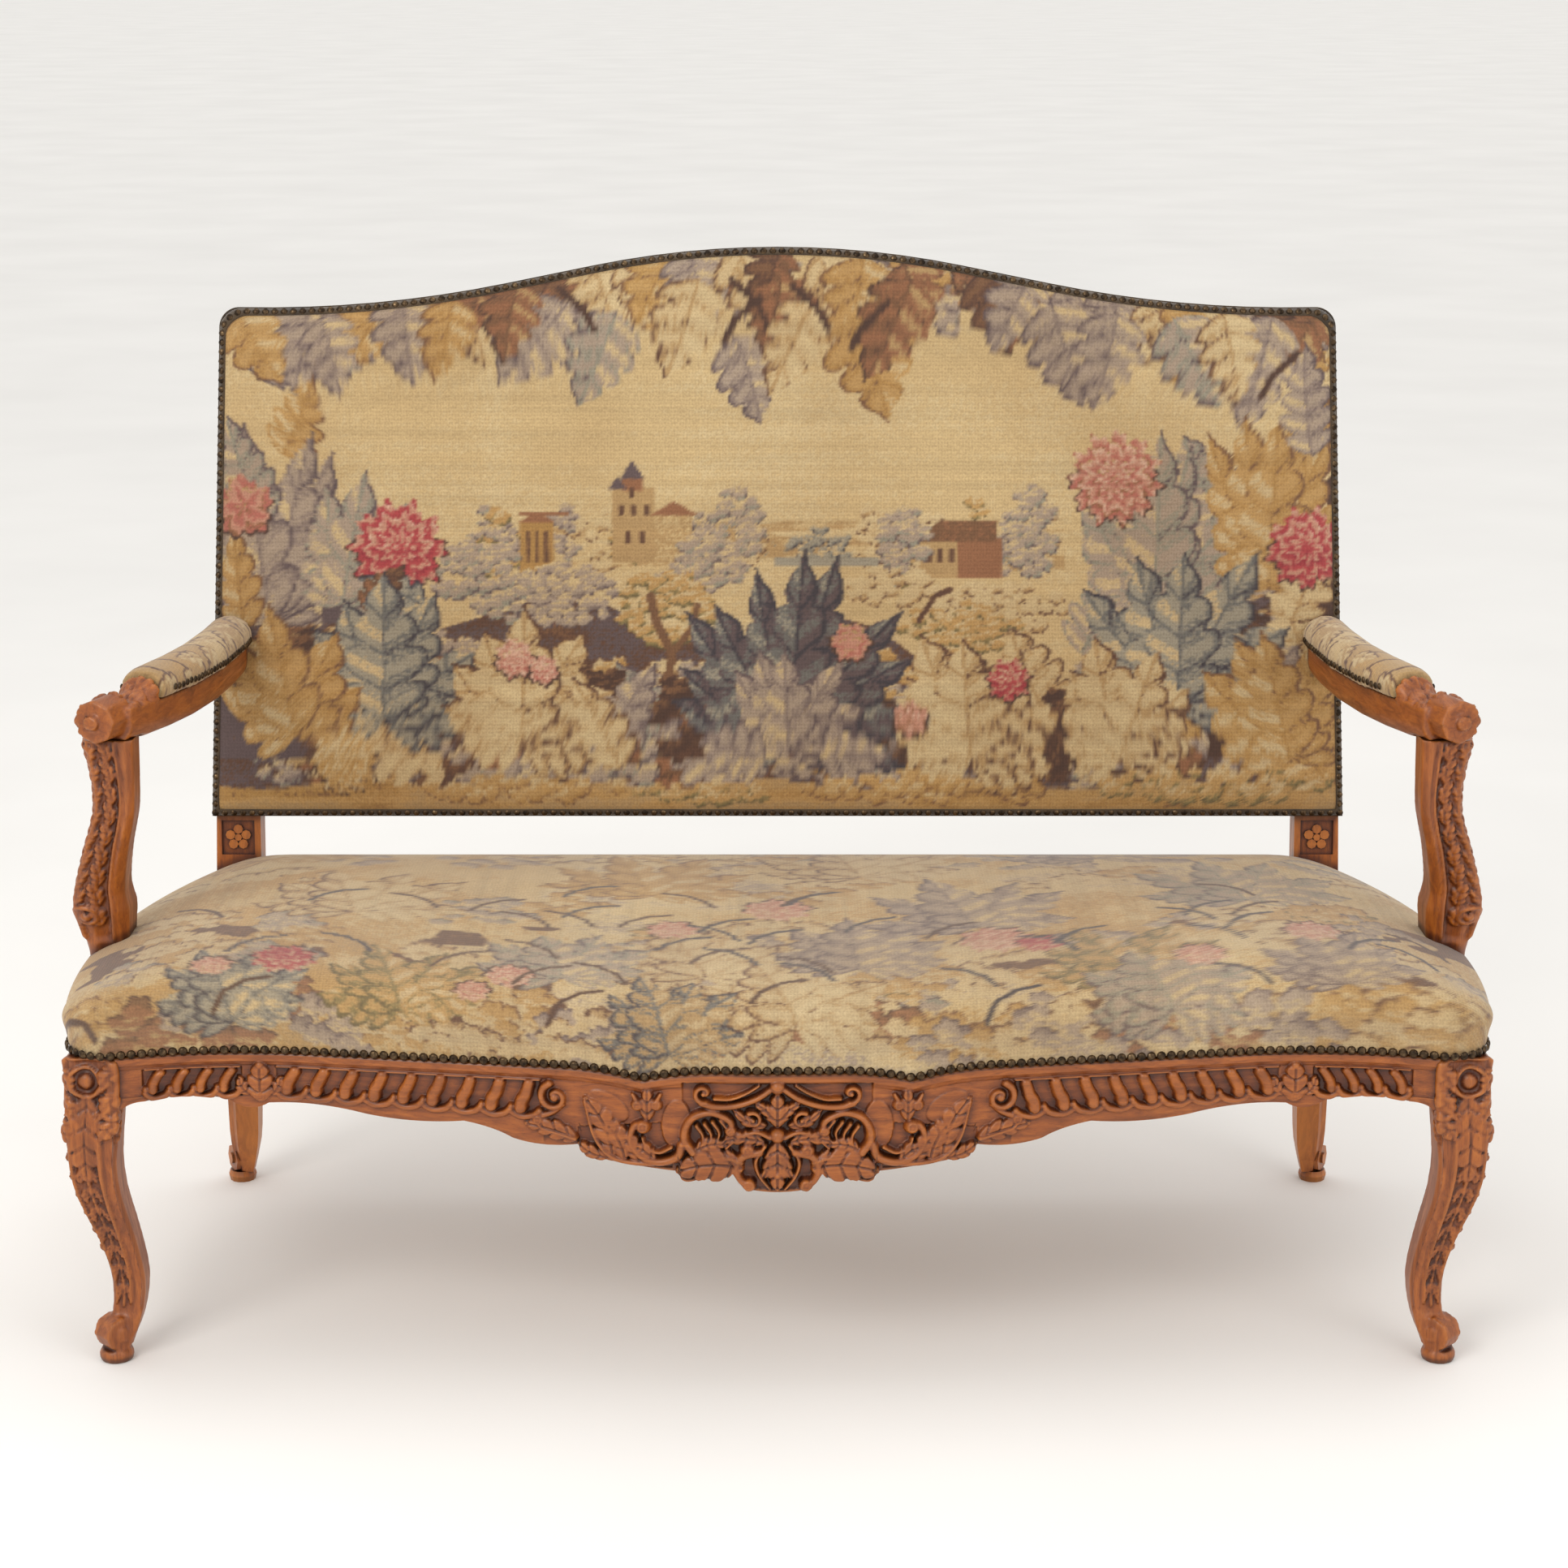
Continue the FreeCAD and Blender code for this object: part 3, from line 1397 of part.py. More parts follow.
cross_xs = web_positions(cross_web_count, cross_web_pitch)
long_ys = [y - 12.0 for y in web_positions(long_web_count, long_web_pitch)]
web_level = rail_top + web_thickness / 2 + layer + 0.05
cross_webs = []
for i, x in enumerate(cross_xs):
    front_end = front_at(x, -rail_thickness)[0] - 18.0
    rows = woven_strip(front_end, 236.0, long_ys, i, web_thickness, web_level)
    strip = Part.Face(polygon([V(0, s, z) for s, z in rows])).extrude(V(web_width, 0, 0))
    strip.translate(V(x - web_width / 2, 0, 0))
    cross_webs.append(strip)
long_webs = []
for j, y in enumerate(long_ys):
    reach = side_x(y) - 20.0
    rows = woven_strip(-reach, reach, cross_xs, j + 1, web_thickness, web_level)
    strip = Part.Face(polygon([V(s, 0, z) for s, z in rows])).extrude(V(0, web_width, 0))
    strip.translate(V(0, y - web_width / 2, 0))
    long_webs.append(strip)
save("seat_webbing_crosswise", Part.makeCompound(cross_webs))
save("seat_webbing_lengthwise", Part.makeCompound(long_webs))

hessian_z = web_level + layer + web_thickness / 2 + 0.15
support_gap = box(
    support_x - 36, side_front_x + 60, support_y - 40, support_y + 40, show_edge - 20, seat_crown + 60
)
foot_room = skin([
    support_section(support_x + dx, support_y + dy, z, w + 2, d + 2)
    for z, dx, dy, w, d in eased(support_stations[:7], 2)
], wood_sag)
foot_room = foot_room.fuse(box(
    support_x - 10, side_front_x + 60, support_y - 26, support_y + 26, rail_top - 30, rail_top + 52
))
stile_room = box(stile_inner_x - 1, side_front_x + 80, rear_front_y - 1, 400, 300, 700)
rooms = Part.makeCompound([stile_room, mirrored(stile_room)])
foot_rooms = Part.makeCompound([foot_room, mirrored(foot_room)])
hessian = seat_prism(-22.0, hessian_z, hessian_z + hessian_thickness, -10.0)
hessian = hessian.cut(rooms).cut(foot_rooms)
save("seat_hessian", hessian)

# Height and outward offsets of the stuffing at front, side and back
stuffing_z = hessian_z + hessian_thickness + 0.15
seat_layers = [
    (stuffing_z, -1.0, -1.0, -6.0),
    (421.0, 8.0, 4.0, -4.0),
    (439.0, 7.0, -9.0, -10.0),
    (457.0, -6.0, -48.0, -34.0),
    (471.0, -34.0, -98.0, -86.0),
    (479.0, -90.0, -160.0, -150.0),
    (seat_crown, -180.0, -236.0, -216.0),
]


def seat_body(grow):
    """Domed seat stuffing, every face moved outwards by the growth."""
    sections = []
    for i, (z, front, side, back) in enumerate(seat_layers):
        lift = grow * i / (len(seat_layers) - 1)
        sections.append(seat_outline(z + lift, front + grow, side + grow, back + grow))
    return skin(sections, soft_sag)


seat_stuffing = seat_body(0.0).cut(rooms).cut(foot_rooms)
save("seat_stuffing", largest(seat_stuffing))

# The cover runs over the dome and down into the rebate, where it is nailed
outer_skirt = seat_prism(-cover_rebate + soft_gap + cover_thickness, show_edge - 20, stuffing_z + 2, -1.0)
inner_skirt = seat_prism(-cover_rebate + soft_gap, show_edge - 21, stuffing_z + 1, -3.0)
cover_body = seat_body(soft_gap + cover_thickness).fuse(outer_skirt)
cover_room = seat_body(soft_gap).fuse(inner_skirt)
seat_cover = cover_body.cut(cover_room)
low_front = band_between(
    show_line(half_span, joint_gap + 0.4), [line(p(-half_span, bottom_blank), p(half_span, bottom_blank))]
)
seat_cover = seat_cover.cut(upright_sheet(low_front, rail_sheet_front, 0.0))
seat_cover = seat_cover.cut(box(
    -half_span, half_span, -1, seat_back_y + 100, bottom_blank, show_edge + joint_gap + 0.4
))
seat_cover = seat_cover.cut(rooms).cut(foot_rooms)
save("seat_cover", largest(seat_cover))
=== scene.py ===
import math

import bmesh
import bpy
import numpy as np
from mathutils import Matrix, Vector


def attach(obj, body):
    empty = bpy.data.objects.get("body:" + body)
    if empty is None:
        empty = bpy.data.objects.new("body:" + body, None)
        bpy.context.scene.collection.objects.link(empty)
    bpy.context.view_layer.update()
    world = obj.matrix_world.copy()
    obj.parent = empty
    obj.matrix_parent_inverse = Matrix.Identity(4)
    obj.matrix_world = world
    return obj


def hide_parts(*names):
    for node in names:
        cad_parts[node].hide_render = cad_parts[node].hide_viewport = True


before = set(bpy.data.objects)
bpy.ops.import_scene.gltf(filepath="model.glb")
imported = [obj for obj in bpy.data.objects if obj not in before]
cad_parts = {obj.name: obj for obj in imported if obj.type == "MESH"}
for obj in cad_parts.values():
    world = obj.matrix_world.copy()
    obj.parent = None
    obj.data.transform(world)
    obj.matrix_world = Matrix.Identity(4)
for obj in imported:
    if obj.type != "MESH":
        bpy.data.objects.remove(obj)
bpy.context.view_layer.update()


# Sizes of the part in millimetres
MM = 0.001
HOLLOW_REACH = 301.0
BOW_RISE = 71.0
BOW_REACH = HOLLOW_REACH + BOW_RISE
HOLLOW_X = 600.0
HOLLOW_RADIUS = 480.0
BOW_SLOPE = 1.268 * BOW_RISE / HOLLOW_X
LEG_INNER_X = 742.0
LEG_BLOCK = 62.0
SIDE_FRONT_X = LEG_INNER_X + LEG_BLOCK
SIDE_REAR_X = 722.0
SIDE_REAR_Y = 236.0
SIDE_BULGE = 40.0
SEAT_BACK_Y = 272.0
SHOW_EDGE = 379.0
CUSP_X = 151.0
CUSP_DROP = 11.0
CUSP_SPREAD = 84.0
FRAME_FACE_Y = 224.0
RAKE = math.radians(8.05)
RAKE_PIVOT_Z = 400.0
BACK_LOW = 512.0
BACK_SIDE_LOW_X = 719.5
BACK_SIDE_TOP_X = 697.5
CREST_HOLLOW = 1151.5
CREST_RISE = 75.0
CREST_HOLLOW_X = 640.0
CREST_HOLLOW_RADIUS = 1520.0
CREST_SLOPE = 1.72 * CREST_RISE / CREST_HOLLOW_X
CREST_ROUND = 8.0
CORNER_RADIUS = 54.5
CORNER_SHARE = 0.72
VOLUTE_Y = -168.0
VOLUTE_Z = 735.0
SEAT_EDGE_Z = 381.0
SEAT_MIDDLE_Y = -40.0
BACK_MIDDLE_S = 830.0
CLOTH_FRAMES = 20
CARVING_DEPTH = 1.45
# The photograph's width, and the focal length and shift of its camera, in its pixels
PHOTO_WIDTH = 1932.0
PHOTO_FOCAL = 3940.0
PHOTO_SHIFT = 8.0
SENSOR = 36.0
# Height of each station of the seat's crown and its insets from the front, the sides and the back
SEAT_LAYERS = [
    (403.0, 1.5, 1.5, -4.0),
    (421.0, 8.0, 4.0, -4.0),
    (439.0, 7.0, -9.0, -10.0),
    (457.0, -6.0, -48.0, -34.0),
    (471.0, -34.0, -98.0, -86.0),
    (479.0, -90.0, -160.0, -150.0),
    (483.0, -180.0, -236.0, -216.0),
]
# Depth from the frame's face and inset from the outline of each station of the back's crown
BACK_LAYERS = [
    (20.0, 0.0), (0.0, 0.0), (-12.0, 0.3), (-20.0, 5.5), (-26.0, 22.0), (-29.0, 70.0), (-30.0, 150.0),
]


# Curves shared with the solids

def bow(x, peak, hollow, turn_x, turn_radius, slope, offset=0.0):
    """Height and lean of a cupid's bow at x (arrays), moved outwards by an offset."""
    x = np.asarray(x, float)
    a = math.atan(slope)
    flat = 1.0 - math.cos(a)
    reach = turn_x - turn_radius * math.sin(a)
    fall = peak - hollow - turn_radius * flat - slope * reach
    crown = fall / (flat - slope * math.sin(a))
    outer = crown + offset
    inner = turn_radius - offset
    ax = np.abs(x)
    edge = outer * math.sin(a)
    top = peak - crown + np.sqrt(np.maximum(outer ** 2 - ax ** 2, 1.0))
    rel = np.clip(ax - turn_x, -inner * 0.999, inner * 0.999)
    low = hollow + turn_radius - np.sqrt(inner ** 2 - rel ** 2)
    mid = peak - crown + outer * math.cos(a) - slope * (ax - edge)
    h = np.where(ax < edge, top, np.where(ax > turn_x - inner * math.sin(a), low, mid))
    lean = np.where(ax < edge, np.arcsin(np.clip(ax / outer, -1, 1)),
                    np.where(ax > turn_x - inner * math.sin(a), -np.arcsin(rel / inner), a))
    return h, lean * np.sign(x)


def front_y(x, offset=0.0):
    h, lean = bow(x, BOW_REACH, HOLLOW_REACH, HOLLOW_X, HOLLOW_RADIUS, BOW_SLOPE, offset)
    return -h, lean


def crest_s(x, offset=0.0):
    return bow(x, CREST_HOLLOW + CREST_RISE, CREST_HOLLOW, CREST_HOLLOW_X, CREST_HOLLOW_RADIUS,
               CREST_SLOPE, offset)[0]


LEG_FRONT_Y = float(front_y(LEG_INNER_X)[0])
LEG_REAR_Y = LEG_FRONT_Y + LEG_BLOCK
_run = np.array([SIDE_REAR_X - SIDE_FRONT_X, SIDE_REAR_Y - LEG_REAR_Y])
_half = np.linalg.norm(_run) / 2
SIDE_RADIUS = _half ** 2 / (2 * SIDE_BULGE) + SIDE_BULGE / 2
_normal = np.array([_run[1], -_run[0]]) / np.linalg.norm(_run)
SIDE_CENTRE = (np.array([SIDE_REAR_X + SIDE_FRONT_X, SIDE_REAR_Y + LEG_REAR_Y]) / 2
               - _normal * (SIDE_RADIUS - SIDE_BULGE))


def side_x(y, offset=0.0):
    r = SIDE_RADIUS + offset
    return SIDE_CENTRE[0] + np.sqrt(r ** 2 - (np.asarray(y, float) - SIDE_CENTRE[1]) ** 2)


def show_dip(x):
    """How far the show edge dips towards its cusps."""
    d = np.abs(np.abs(x) - CUSP_X)
    t = np.clip(1.0 - d / CUSP_SPREAD, 0, 1)
    return CUSP_DROP * t ** 1.9


def rake_point(x, y, s):
    """Point of the leaning back from its upright position."""
    c, q = math.cos(RAKE), math.sin(RAKE)
    dy = y - FRAME_FACE_Y
    dz = s - RAKE_PIVOT_Z
    return x, FRAME_FACE_Y + dy * c + dz * q, RAKE_PIVOT_Z - dy * q + dz * c


def interp_layers(layers, r):
    """Smooth values between stations (monotone in the station index)."""
    table = np.array(layers, float)
    n = len(table) - 1
    p = np.clip(np.asarray(r, float) * n, 0, n)
    i = np.clip(np.floor(p).astype(int), 0, n - 1)
    t = p - i
    a = table[np.maximum(i - 1, 0)]
    b = table[i]
    c = table[i + 1]
    d = table[np.minimum(i + 2, n)]
    t = t[..., None]
    return 0.5 * ((2 * b) + (c - a) * t + (2 * a - 5 * b + 4 * c - d) * t ** 2
                  + (3 * b - a - 3 * c + d) * t ** 3)


# Meshes in millimetres

def make_object(name, verts, faces):
    mesh = bpy.data.meshes.new(name)
    mesh.from_pydata([tuple(v) for v in np.asarray(verts) * MM], [], faces)
    mesh.validate()
    mesh.polygons.foreach_set("use_smooth", [True] * len(mesh.polygons))
    mesh.update()
    obj = bpy.data.objects.new(name, mesh)
    bpy.context.scene.collection.objects.link(obj)
    return obj


def grid_faces(rows, cols, start=0, wrap=False):
    faces = []
    for j in range(start, start + (rows - 1) * cols, cols):
        for i in range(cols if wrap else cols - 1):
            k = (i + 1) % cols
            faces.append((j + i, j + k, j + cols + k, j + cols + i))
    return faces


def vertex_rows(obj, what):
    a = np.empty(len(obj.data.vertices) * 3)
    obj.data.vertices.foreach_get(what, a)
    return a.reshape(-1, 3)


def coords(obj):
    return vertex_rows(obj, "co") / MM


def put_coords(obj, a):
    obj.data.vertices.foreach_set("co", (a * MM).reshape(-1))
    obj.data.update()


def apply_modifiers(obj):
    depsgraph = bpy.context.evaluated_depsgraph_get()
    mesh = bpy.data.meshes.new_from_object(obj.evaluated_get(depsgraph))
    obj.modifiers.clear()
    old = obj.data
    obj.data = mesh
    bpy.data.meshes.remove(old)


def subdivide(obj, levels):
    m = obj.modifiers.new("Subdivision", "SUBSURF")
    m.levels = levels
    m.render_levels = levels
    apply_modifiers(obj)


def rand(seed):
    return np.random.RandomState(seed)


def pick(r, *choices):
    return choices[r.randint(len(choices))]


class Field:
    """An even grid of yarns or heights over a rectangle."""

    def __init__(self, x0, x1, y0, y1, step, spare):
        self.x0, self.y0, self.step = x0, y0, step
        self.cols = int((x1 - x0) / step) + spare
        self.rows = int((y1 - y0) / step) + spare

    def grid(self):
        return np.meshgrid(self.x0 + np.arange(self.cols) * self.step,
                           self.y0 + np.arange(self.rows) * self.step)

    def span(self, at, reach, start, count):
        first = max(int((at - reach - start) / self.step), 0)
        return first, max(min(int((at + reach - start) / self.step) + 2, count), first)

    def window(self, x, y, reach):
        """The cells within reach of a point, and their offsets from it."""
        i0, i1 = self.span(x, reach, self.x0, self.cols)
        j0, j1 = self.span(y, reach, self.y0, self.rows)
        dx, dy = np.meshgrid(self.x0 + np.arange(i0, i1) * self.step - x,
                             self.y0 + np.arange(j0, j1) * self.step - y)
        return (slice(j0, j1), slice(i0, i1)), dx, dy

    def blend(self, table, x, y):
        """Values of a table at positions, blended between neighbouring cells."""
        fx = np.clip((x - self.x0) / self.step, 0, self.cols - 1.001)
        fy = np.clip((y - self.y0) / self.step, 0, self.rows - 1.001)
        i, j = fx.astype(int), fy.astype(int)
        shape = fx.shape + (1,) * (table.ndim - 2)
        fx, fy = (fx - i).reshape(shape), (fy - j).reshape(shape)
        return (table[j, i] * (1 - fx) * (1 - fy) + table[j, i + 1] * fx * (1 - fy)
                + table[j + 1, i] * (1 - fx) * fy + table[j + 1, i + 1] * fx * fy)


# Materials

def new_material(name):
    m = bpy.data.materials.new(name)
    m.use_nodes = True
    nt = m.node_tree
    nt.nodes.clear()
    out = nt.nodes.new("ShaderNodeOutputMaterial")
    bsdf = nt.nodes.new("ShaderNodeBsdfPrincipled")
    nt.links.new(bsdf.outputs[0], out.inputs[0])
    return m, nt, bsdf


def wire(nt, n, inputs):
    """Links sockets and sets values on a node's inputs."""
    for key, value in inputs.items():
        if isinstance(value, bpy.types.NodeSocket):
            nt.links.new(value, n.inputs[key])
        else:
            n.inputs[key].default_value = value


def node(nt, kind, inputs, **props):
    n = nt.nodes.new(kind)
    for key, value in props.items():
        setattr(n, key, value)
    wire(nt, n, inputs)
    return n


def position(nt):
    return nt.nodes.new("ShaderNodeTexCoord").outputs["Object"]


def noise(nt, at, scale, detail, **more):
    """Noise texture; more gives the roughness and the distortion."""
    inputs = {"Vector": at, "Scale": scale, "Detail": detail}
    inputs.update((key.capitalize(), value) for key, value in more.items())
    return node(nt, "ShaderNodeTexNoise", inputs).outputs[0]


def wave(nt, at, axis, scale, distortion, detail=2.0):
    inputs = {"Vector": at, "Scale": scale, "Distortion": distortion, "Detail": detail}
    return node(nt, "ShaderNodeTexWave", inputs, bands_direction=axis).outputs[1]


def linear(colour):
    """Linear light of a display colour from 0 to 255."""
    c = np.asarray(colour, float) / 255.0
    return np.where(c <= 0.04045, c / 12.92, ((c + 0.055) / 1.055) ** 2.4)


def srgb(*colour):
    return (*linear(colour), 1.0)


def ramp(nt, fac, stops):
    n = node(nt, "ShaderNodeValToRGB", {0: fac})
    steps = n.color_ramp.elements
    steps.remove(steps[-1])
    steps[0].position = stops[0][0]
    steps[0].color = srgb(*stops[0][1])
    for position, colour in stops[1:]:
        steps.new(position).color = srgb(*colour)
    return n.outputs[0]


def mix(nt, fac, a, b, mode="MIX"):
    return node(nt, "ShaderNodeMix", {0: fac, 6: a, 7: b}, data_type="RGBA", blend_type=mode).outputs[2]


def math_node(nt, op, a, b):
    return node(nt, "ShaderNodeMath", {0: a, 1: b}, operation=op).outputs[0]


def stain(nt, base, strength, fac, *stops):
    """Multiplies a colour by a ramp."""
    return mix(nt, strength, base, ramp(nt, fac, stops), "MULTIPLY")


def weigh(nt, a, share_a, b, share_b):
    first, second = math_node(nt, "MULTIPLY", a, share_a), math_node(nt, "MULTIPLY", b, share_b)
    return math_node(nt, "ADD", first, second)


def roughness(nt, fac, dull, bright):
    return node(nt, "ShaderNodeMapRange", {0: fac, 1: 0.3, 2: 0.7, 3: dull, 4: bright}).outputs[0]


def bump(nt, height, strength, distance):
    inputs = {"Strength": strength, "Distance": distance, "Height": height}
    return node(nt, "ShaderNodeBump", inputs).outputs[0]


WHITE = (255, 255, 255)


def walnut(name, stretch, depth=0.86):
    """Waxed walnut: long grain, pores, painted shade in the hollows and rubbed edges; depth sets how strong
    the painted shade is.
    """
    m, nt, bsdf = new_material(name)
    pos = position(nt)
    along = node(nt, "ShaderNodeMapping", {0: pos, 3: stretch}).outputs[0]
    grain = noise(nt, along, 9.0, 8.0, roughness=0.62, distortion=0.8)
    broad = noise(nt, pos, 5.5, 3.0)
    pores = noise(nt, along, 60.0, 4.0, roughness=0.7)
    base = ramp(nt, grain, [(0.28, (90, 42, 12)), (0.44, (128, 64, 18)),
                            (0.56, (154, 82, 24)), (0.72, (178, 102, 34))])
    base = mix(nt, math_node(nt, "MULTIPLY", broad, 0.55), base, srgb(146, 76, 24))
    base = stain(nt, base, 0.35, pores, (0.34, (70, 32, 14)), (0.46, WHITE))
    # Painted shade: ambient occlusion darkens the hollows of the carving, standing also for the dark patina
    # in them
    shade = node(nt, "ShaderNodeAmbientOcclusion", {"Distance": 0.012}, samples=6).outputs["AO"]
    base = stain(nt, base, depth, shade, (0.3, (30, 12, 5)), (0.66, (120, 70, 38)), (0.95, WHITE))
    edges = nt.nodes.new("ShaderNodeNewGeometry").outputs["Pointiness"]
    rubbed = ramp(nt, edges, [(0.5, (0, 0, 0)), (0.62, WHITE)])
    base = mix(nt, math_node(nt, "MULTIPLY", rubbed, 0.42), base, srgb(216, 136, 56))
    wire(nt, bsdf, {"Base Color": base, "Roughness": roughness(nt, grain, 0.5, 0.34),
                    "Coat Weight": 0.1, "Coat Roughness": 0.32,
                    "Normal": bump(nt, weigh(nt, grain, 0.5, pores, 0.5), 0.32, 0.0006)})
    return m


def cloth(name, dark, light, threads=900.0):
    """Plain woven cloth of two yarns with a little fluff."""
    m, nt, bsdf = new_material(name)
    pos = position(nt)
    warp, weft = [wave(nt, pos, axis, threads / 6.28, 0.6) for axis in "XZ"]
    weave = math_node(nt, "MULTIPLY", warp, weft)
    base = ramp(nt, noise(nt, pos, 30.0, 5.0), [(0.3, dark), (0.7, light)])
    base = mix(nt, math_node(nt, "MULTIPLY", weave, 0.5), base, srgb(*dark), "MULTIPLY")
    wire(nt, bsdf, {"Base Color": base, "Roughness": 0.95, "Sheen Weight": 0.3,
                    "Normal": bump(nt, weave, 0.5, 0.0008)})
    return m


def tapestry_material():
    """Woven picture: yarn colours from the mesh, ribs and crossings from the weave coordinates, and painted
    shade in the grooves between them.
    """
    m, nt, bsdf = new_material("tapestry")
    paint = node(nt, "ShaderNodeVertexColor", {}, layer_name="Yarn").outputs[0]
    uv = node(nt, "ShaderNodeUVMap", {}, uv_map="Weave").outputs[0]
    pos = position(nt)
    ribs, wefts = [wave(nt, uv, axis, 157.0 / pitch, 0.9, 1.0) for axis, pitch in (("Y", 2.4), ("X", 1.9))]
    height = weigh(nt, ribs, 0.7, wefts, 0.5)
    base = stain(nt, paint, 0.55, noise(nt, pos, 420.0, 3.0), (0.3, (196, 190, 182)), (0.7, WHITE))
    base = stain(nt, base, 0.5, noise(nt, pos, 3.4, 4.0), (0.35, (214, 200, 180)), (0.65, WHITE))
    # Painted shade: darker in the low grooves between the ribs and wefts
    base = stain(nt, base, 0.2, height, (0.1, (176, 168, 158)), (0.7, WHITE))
    wire(nt, bsdf, {"Base Color": base, "Roughness": 0.92, "Sheen Weight": 0.22, "Sheen Roughness": 0.6,
                    "Normal": bump(nt, height, 0.3, 0.0006)})
    return m


def brass():
    m, nt, bsdf = new_material("old_brass")
    age = noise(nt, position(nt), 160.0, 3.0)
    base = ramp(nt, age, [(0.35, (40, 31, 23)), (0.6, (86, 68, 48)), (0.75, (124, 102, 74))])
    wire(nt, bsdf, {"Base Color": base, "Metallic": 0.85, "Roughness": roughness(nt, age, 0.5, 0.3)})
    return m


def give(obj, material):
    obj.data.materials.clear()
    obj.data.materials.append(material)


def finish(obj, material):
    """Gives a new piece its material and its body."""
    give(obj, material)
    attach(obj, "root")


wood_x = walnut("walnut_along_x", (1.2, 14.0, 14.0))
wood_z = walnut("walnut_along_z", (14.0, 14.0, 1.2))
wood_y = walnut("walnut_along_y", (14.0, 1.2, 14.0))
inner_wood = walnut("inner_beech", (1.5, 12.0, 12.0), 0.344)
tapestry = tapestry_material()
linen = cloth("back_linen", (150, 124, 88), (178, 150, 110))
jute = cloth("jute", (132, 104, 66), (170, 138, 92), 500.0)
fibre = cloth("fibre", (188, 166, 128), (206, 188, 150), 300.0)
gimp = cloth("dark_gimp", (52, 40, 28), (88, 70, 48), 1400.0)
nail_brass = brass()


# First letters of the nodes' names and their finishes; the last row takes the rest
FINISHES = [
    (("front_leg", "rear_leg", "arm_support"), wood_z),
    (("arm_left", "arm_right", "side_rail"), wood_y),
    (("front_rail",), wood_x),
    (("back_rail", "crest", "back_lower", "back_upright", "seat_brace", "glue", "joint"), inner_wood),
    (("seat_webbing", "seat_hessian"), jute),
    (("outside_back_cover",), linen),
    (("back_braid",), gimp),
    (("",), fibre),
]
for name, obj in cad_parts.items():
    give(obj, next(material for starts, material in FINISHES if name.startswith(starts)))


# The woven picture: drawn by formula on a grid of stitches

DYES = {
    "sand": (208, 180, 130), "pale": (214, 190, 144), "ochre": (192, 152, 92), "gold": (176, 134, 72),
    "olive": (136, 118, 72), "dolive": (98, 84, 52), "cream": (208, 182, 136), "tan": (184, 150, 100),
    "brown": (122, 84, 54), "dark": (78, 50, 36), "umber": (98, 64, 44), "rust": (150, 100, 66),
    "lilac": (142, 123, 112), "dlilac": (98, 80, 80), "llilac": (172, 152, 132),
    "blue": (112, 109, 104), "navy": (62, 54, 60), "lblue": (160, 151, 132),
    "pink": (200, 144, 120), "rose": (184, 108, 92), "crimson": (158, 46, 56), "lpink": (220, 180, 156),
    "red": (176, 64, 66), "grey": (150, 144, 126),
}


def tones(names):
    return [np.array(DYES[name], float) for name in names.split()]


LILAC = tones("dlilac lilac llilac cream")
BLUE = tones("navy blue lblue cream")
CREAM = tones("umber tan cream pale")
OCHRE = tones("brown gold ochre cream")
OLIVE = tones("dolive olive ochre cream")
BROWN = tones("dark brown rust tan")
DARK = tones("dark umber brown rust")
GREY = tones("dlilac grey llilac cream")
PINK = tones("rose pink lpink cream")
RED = tones("crimson red pink lpink")
OUTLINE = tones("dark")


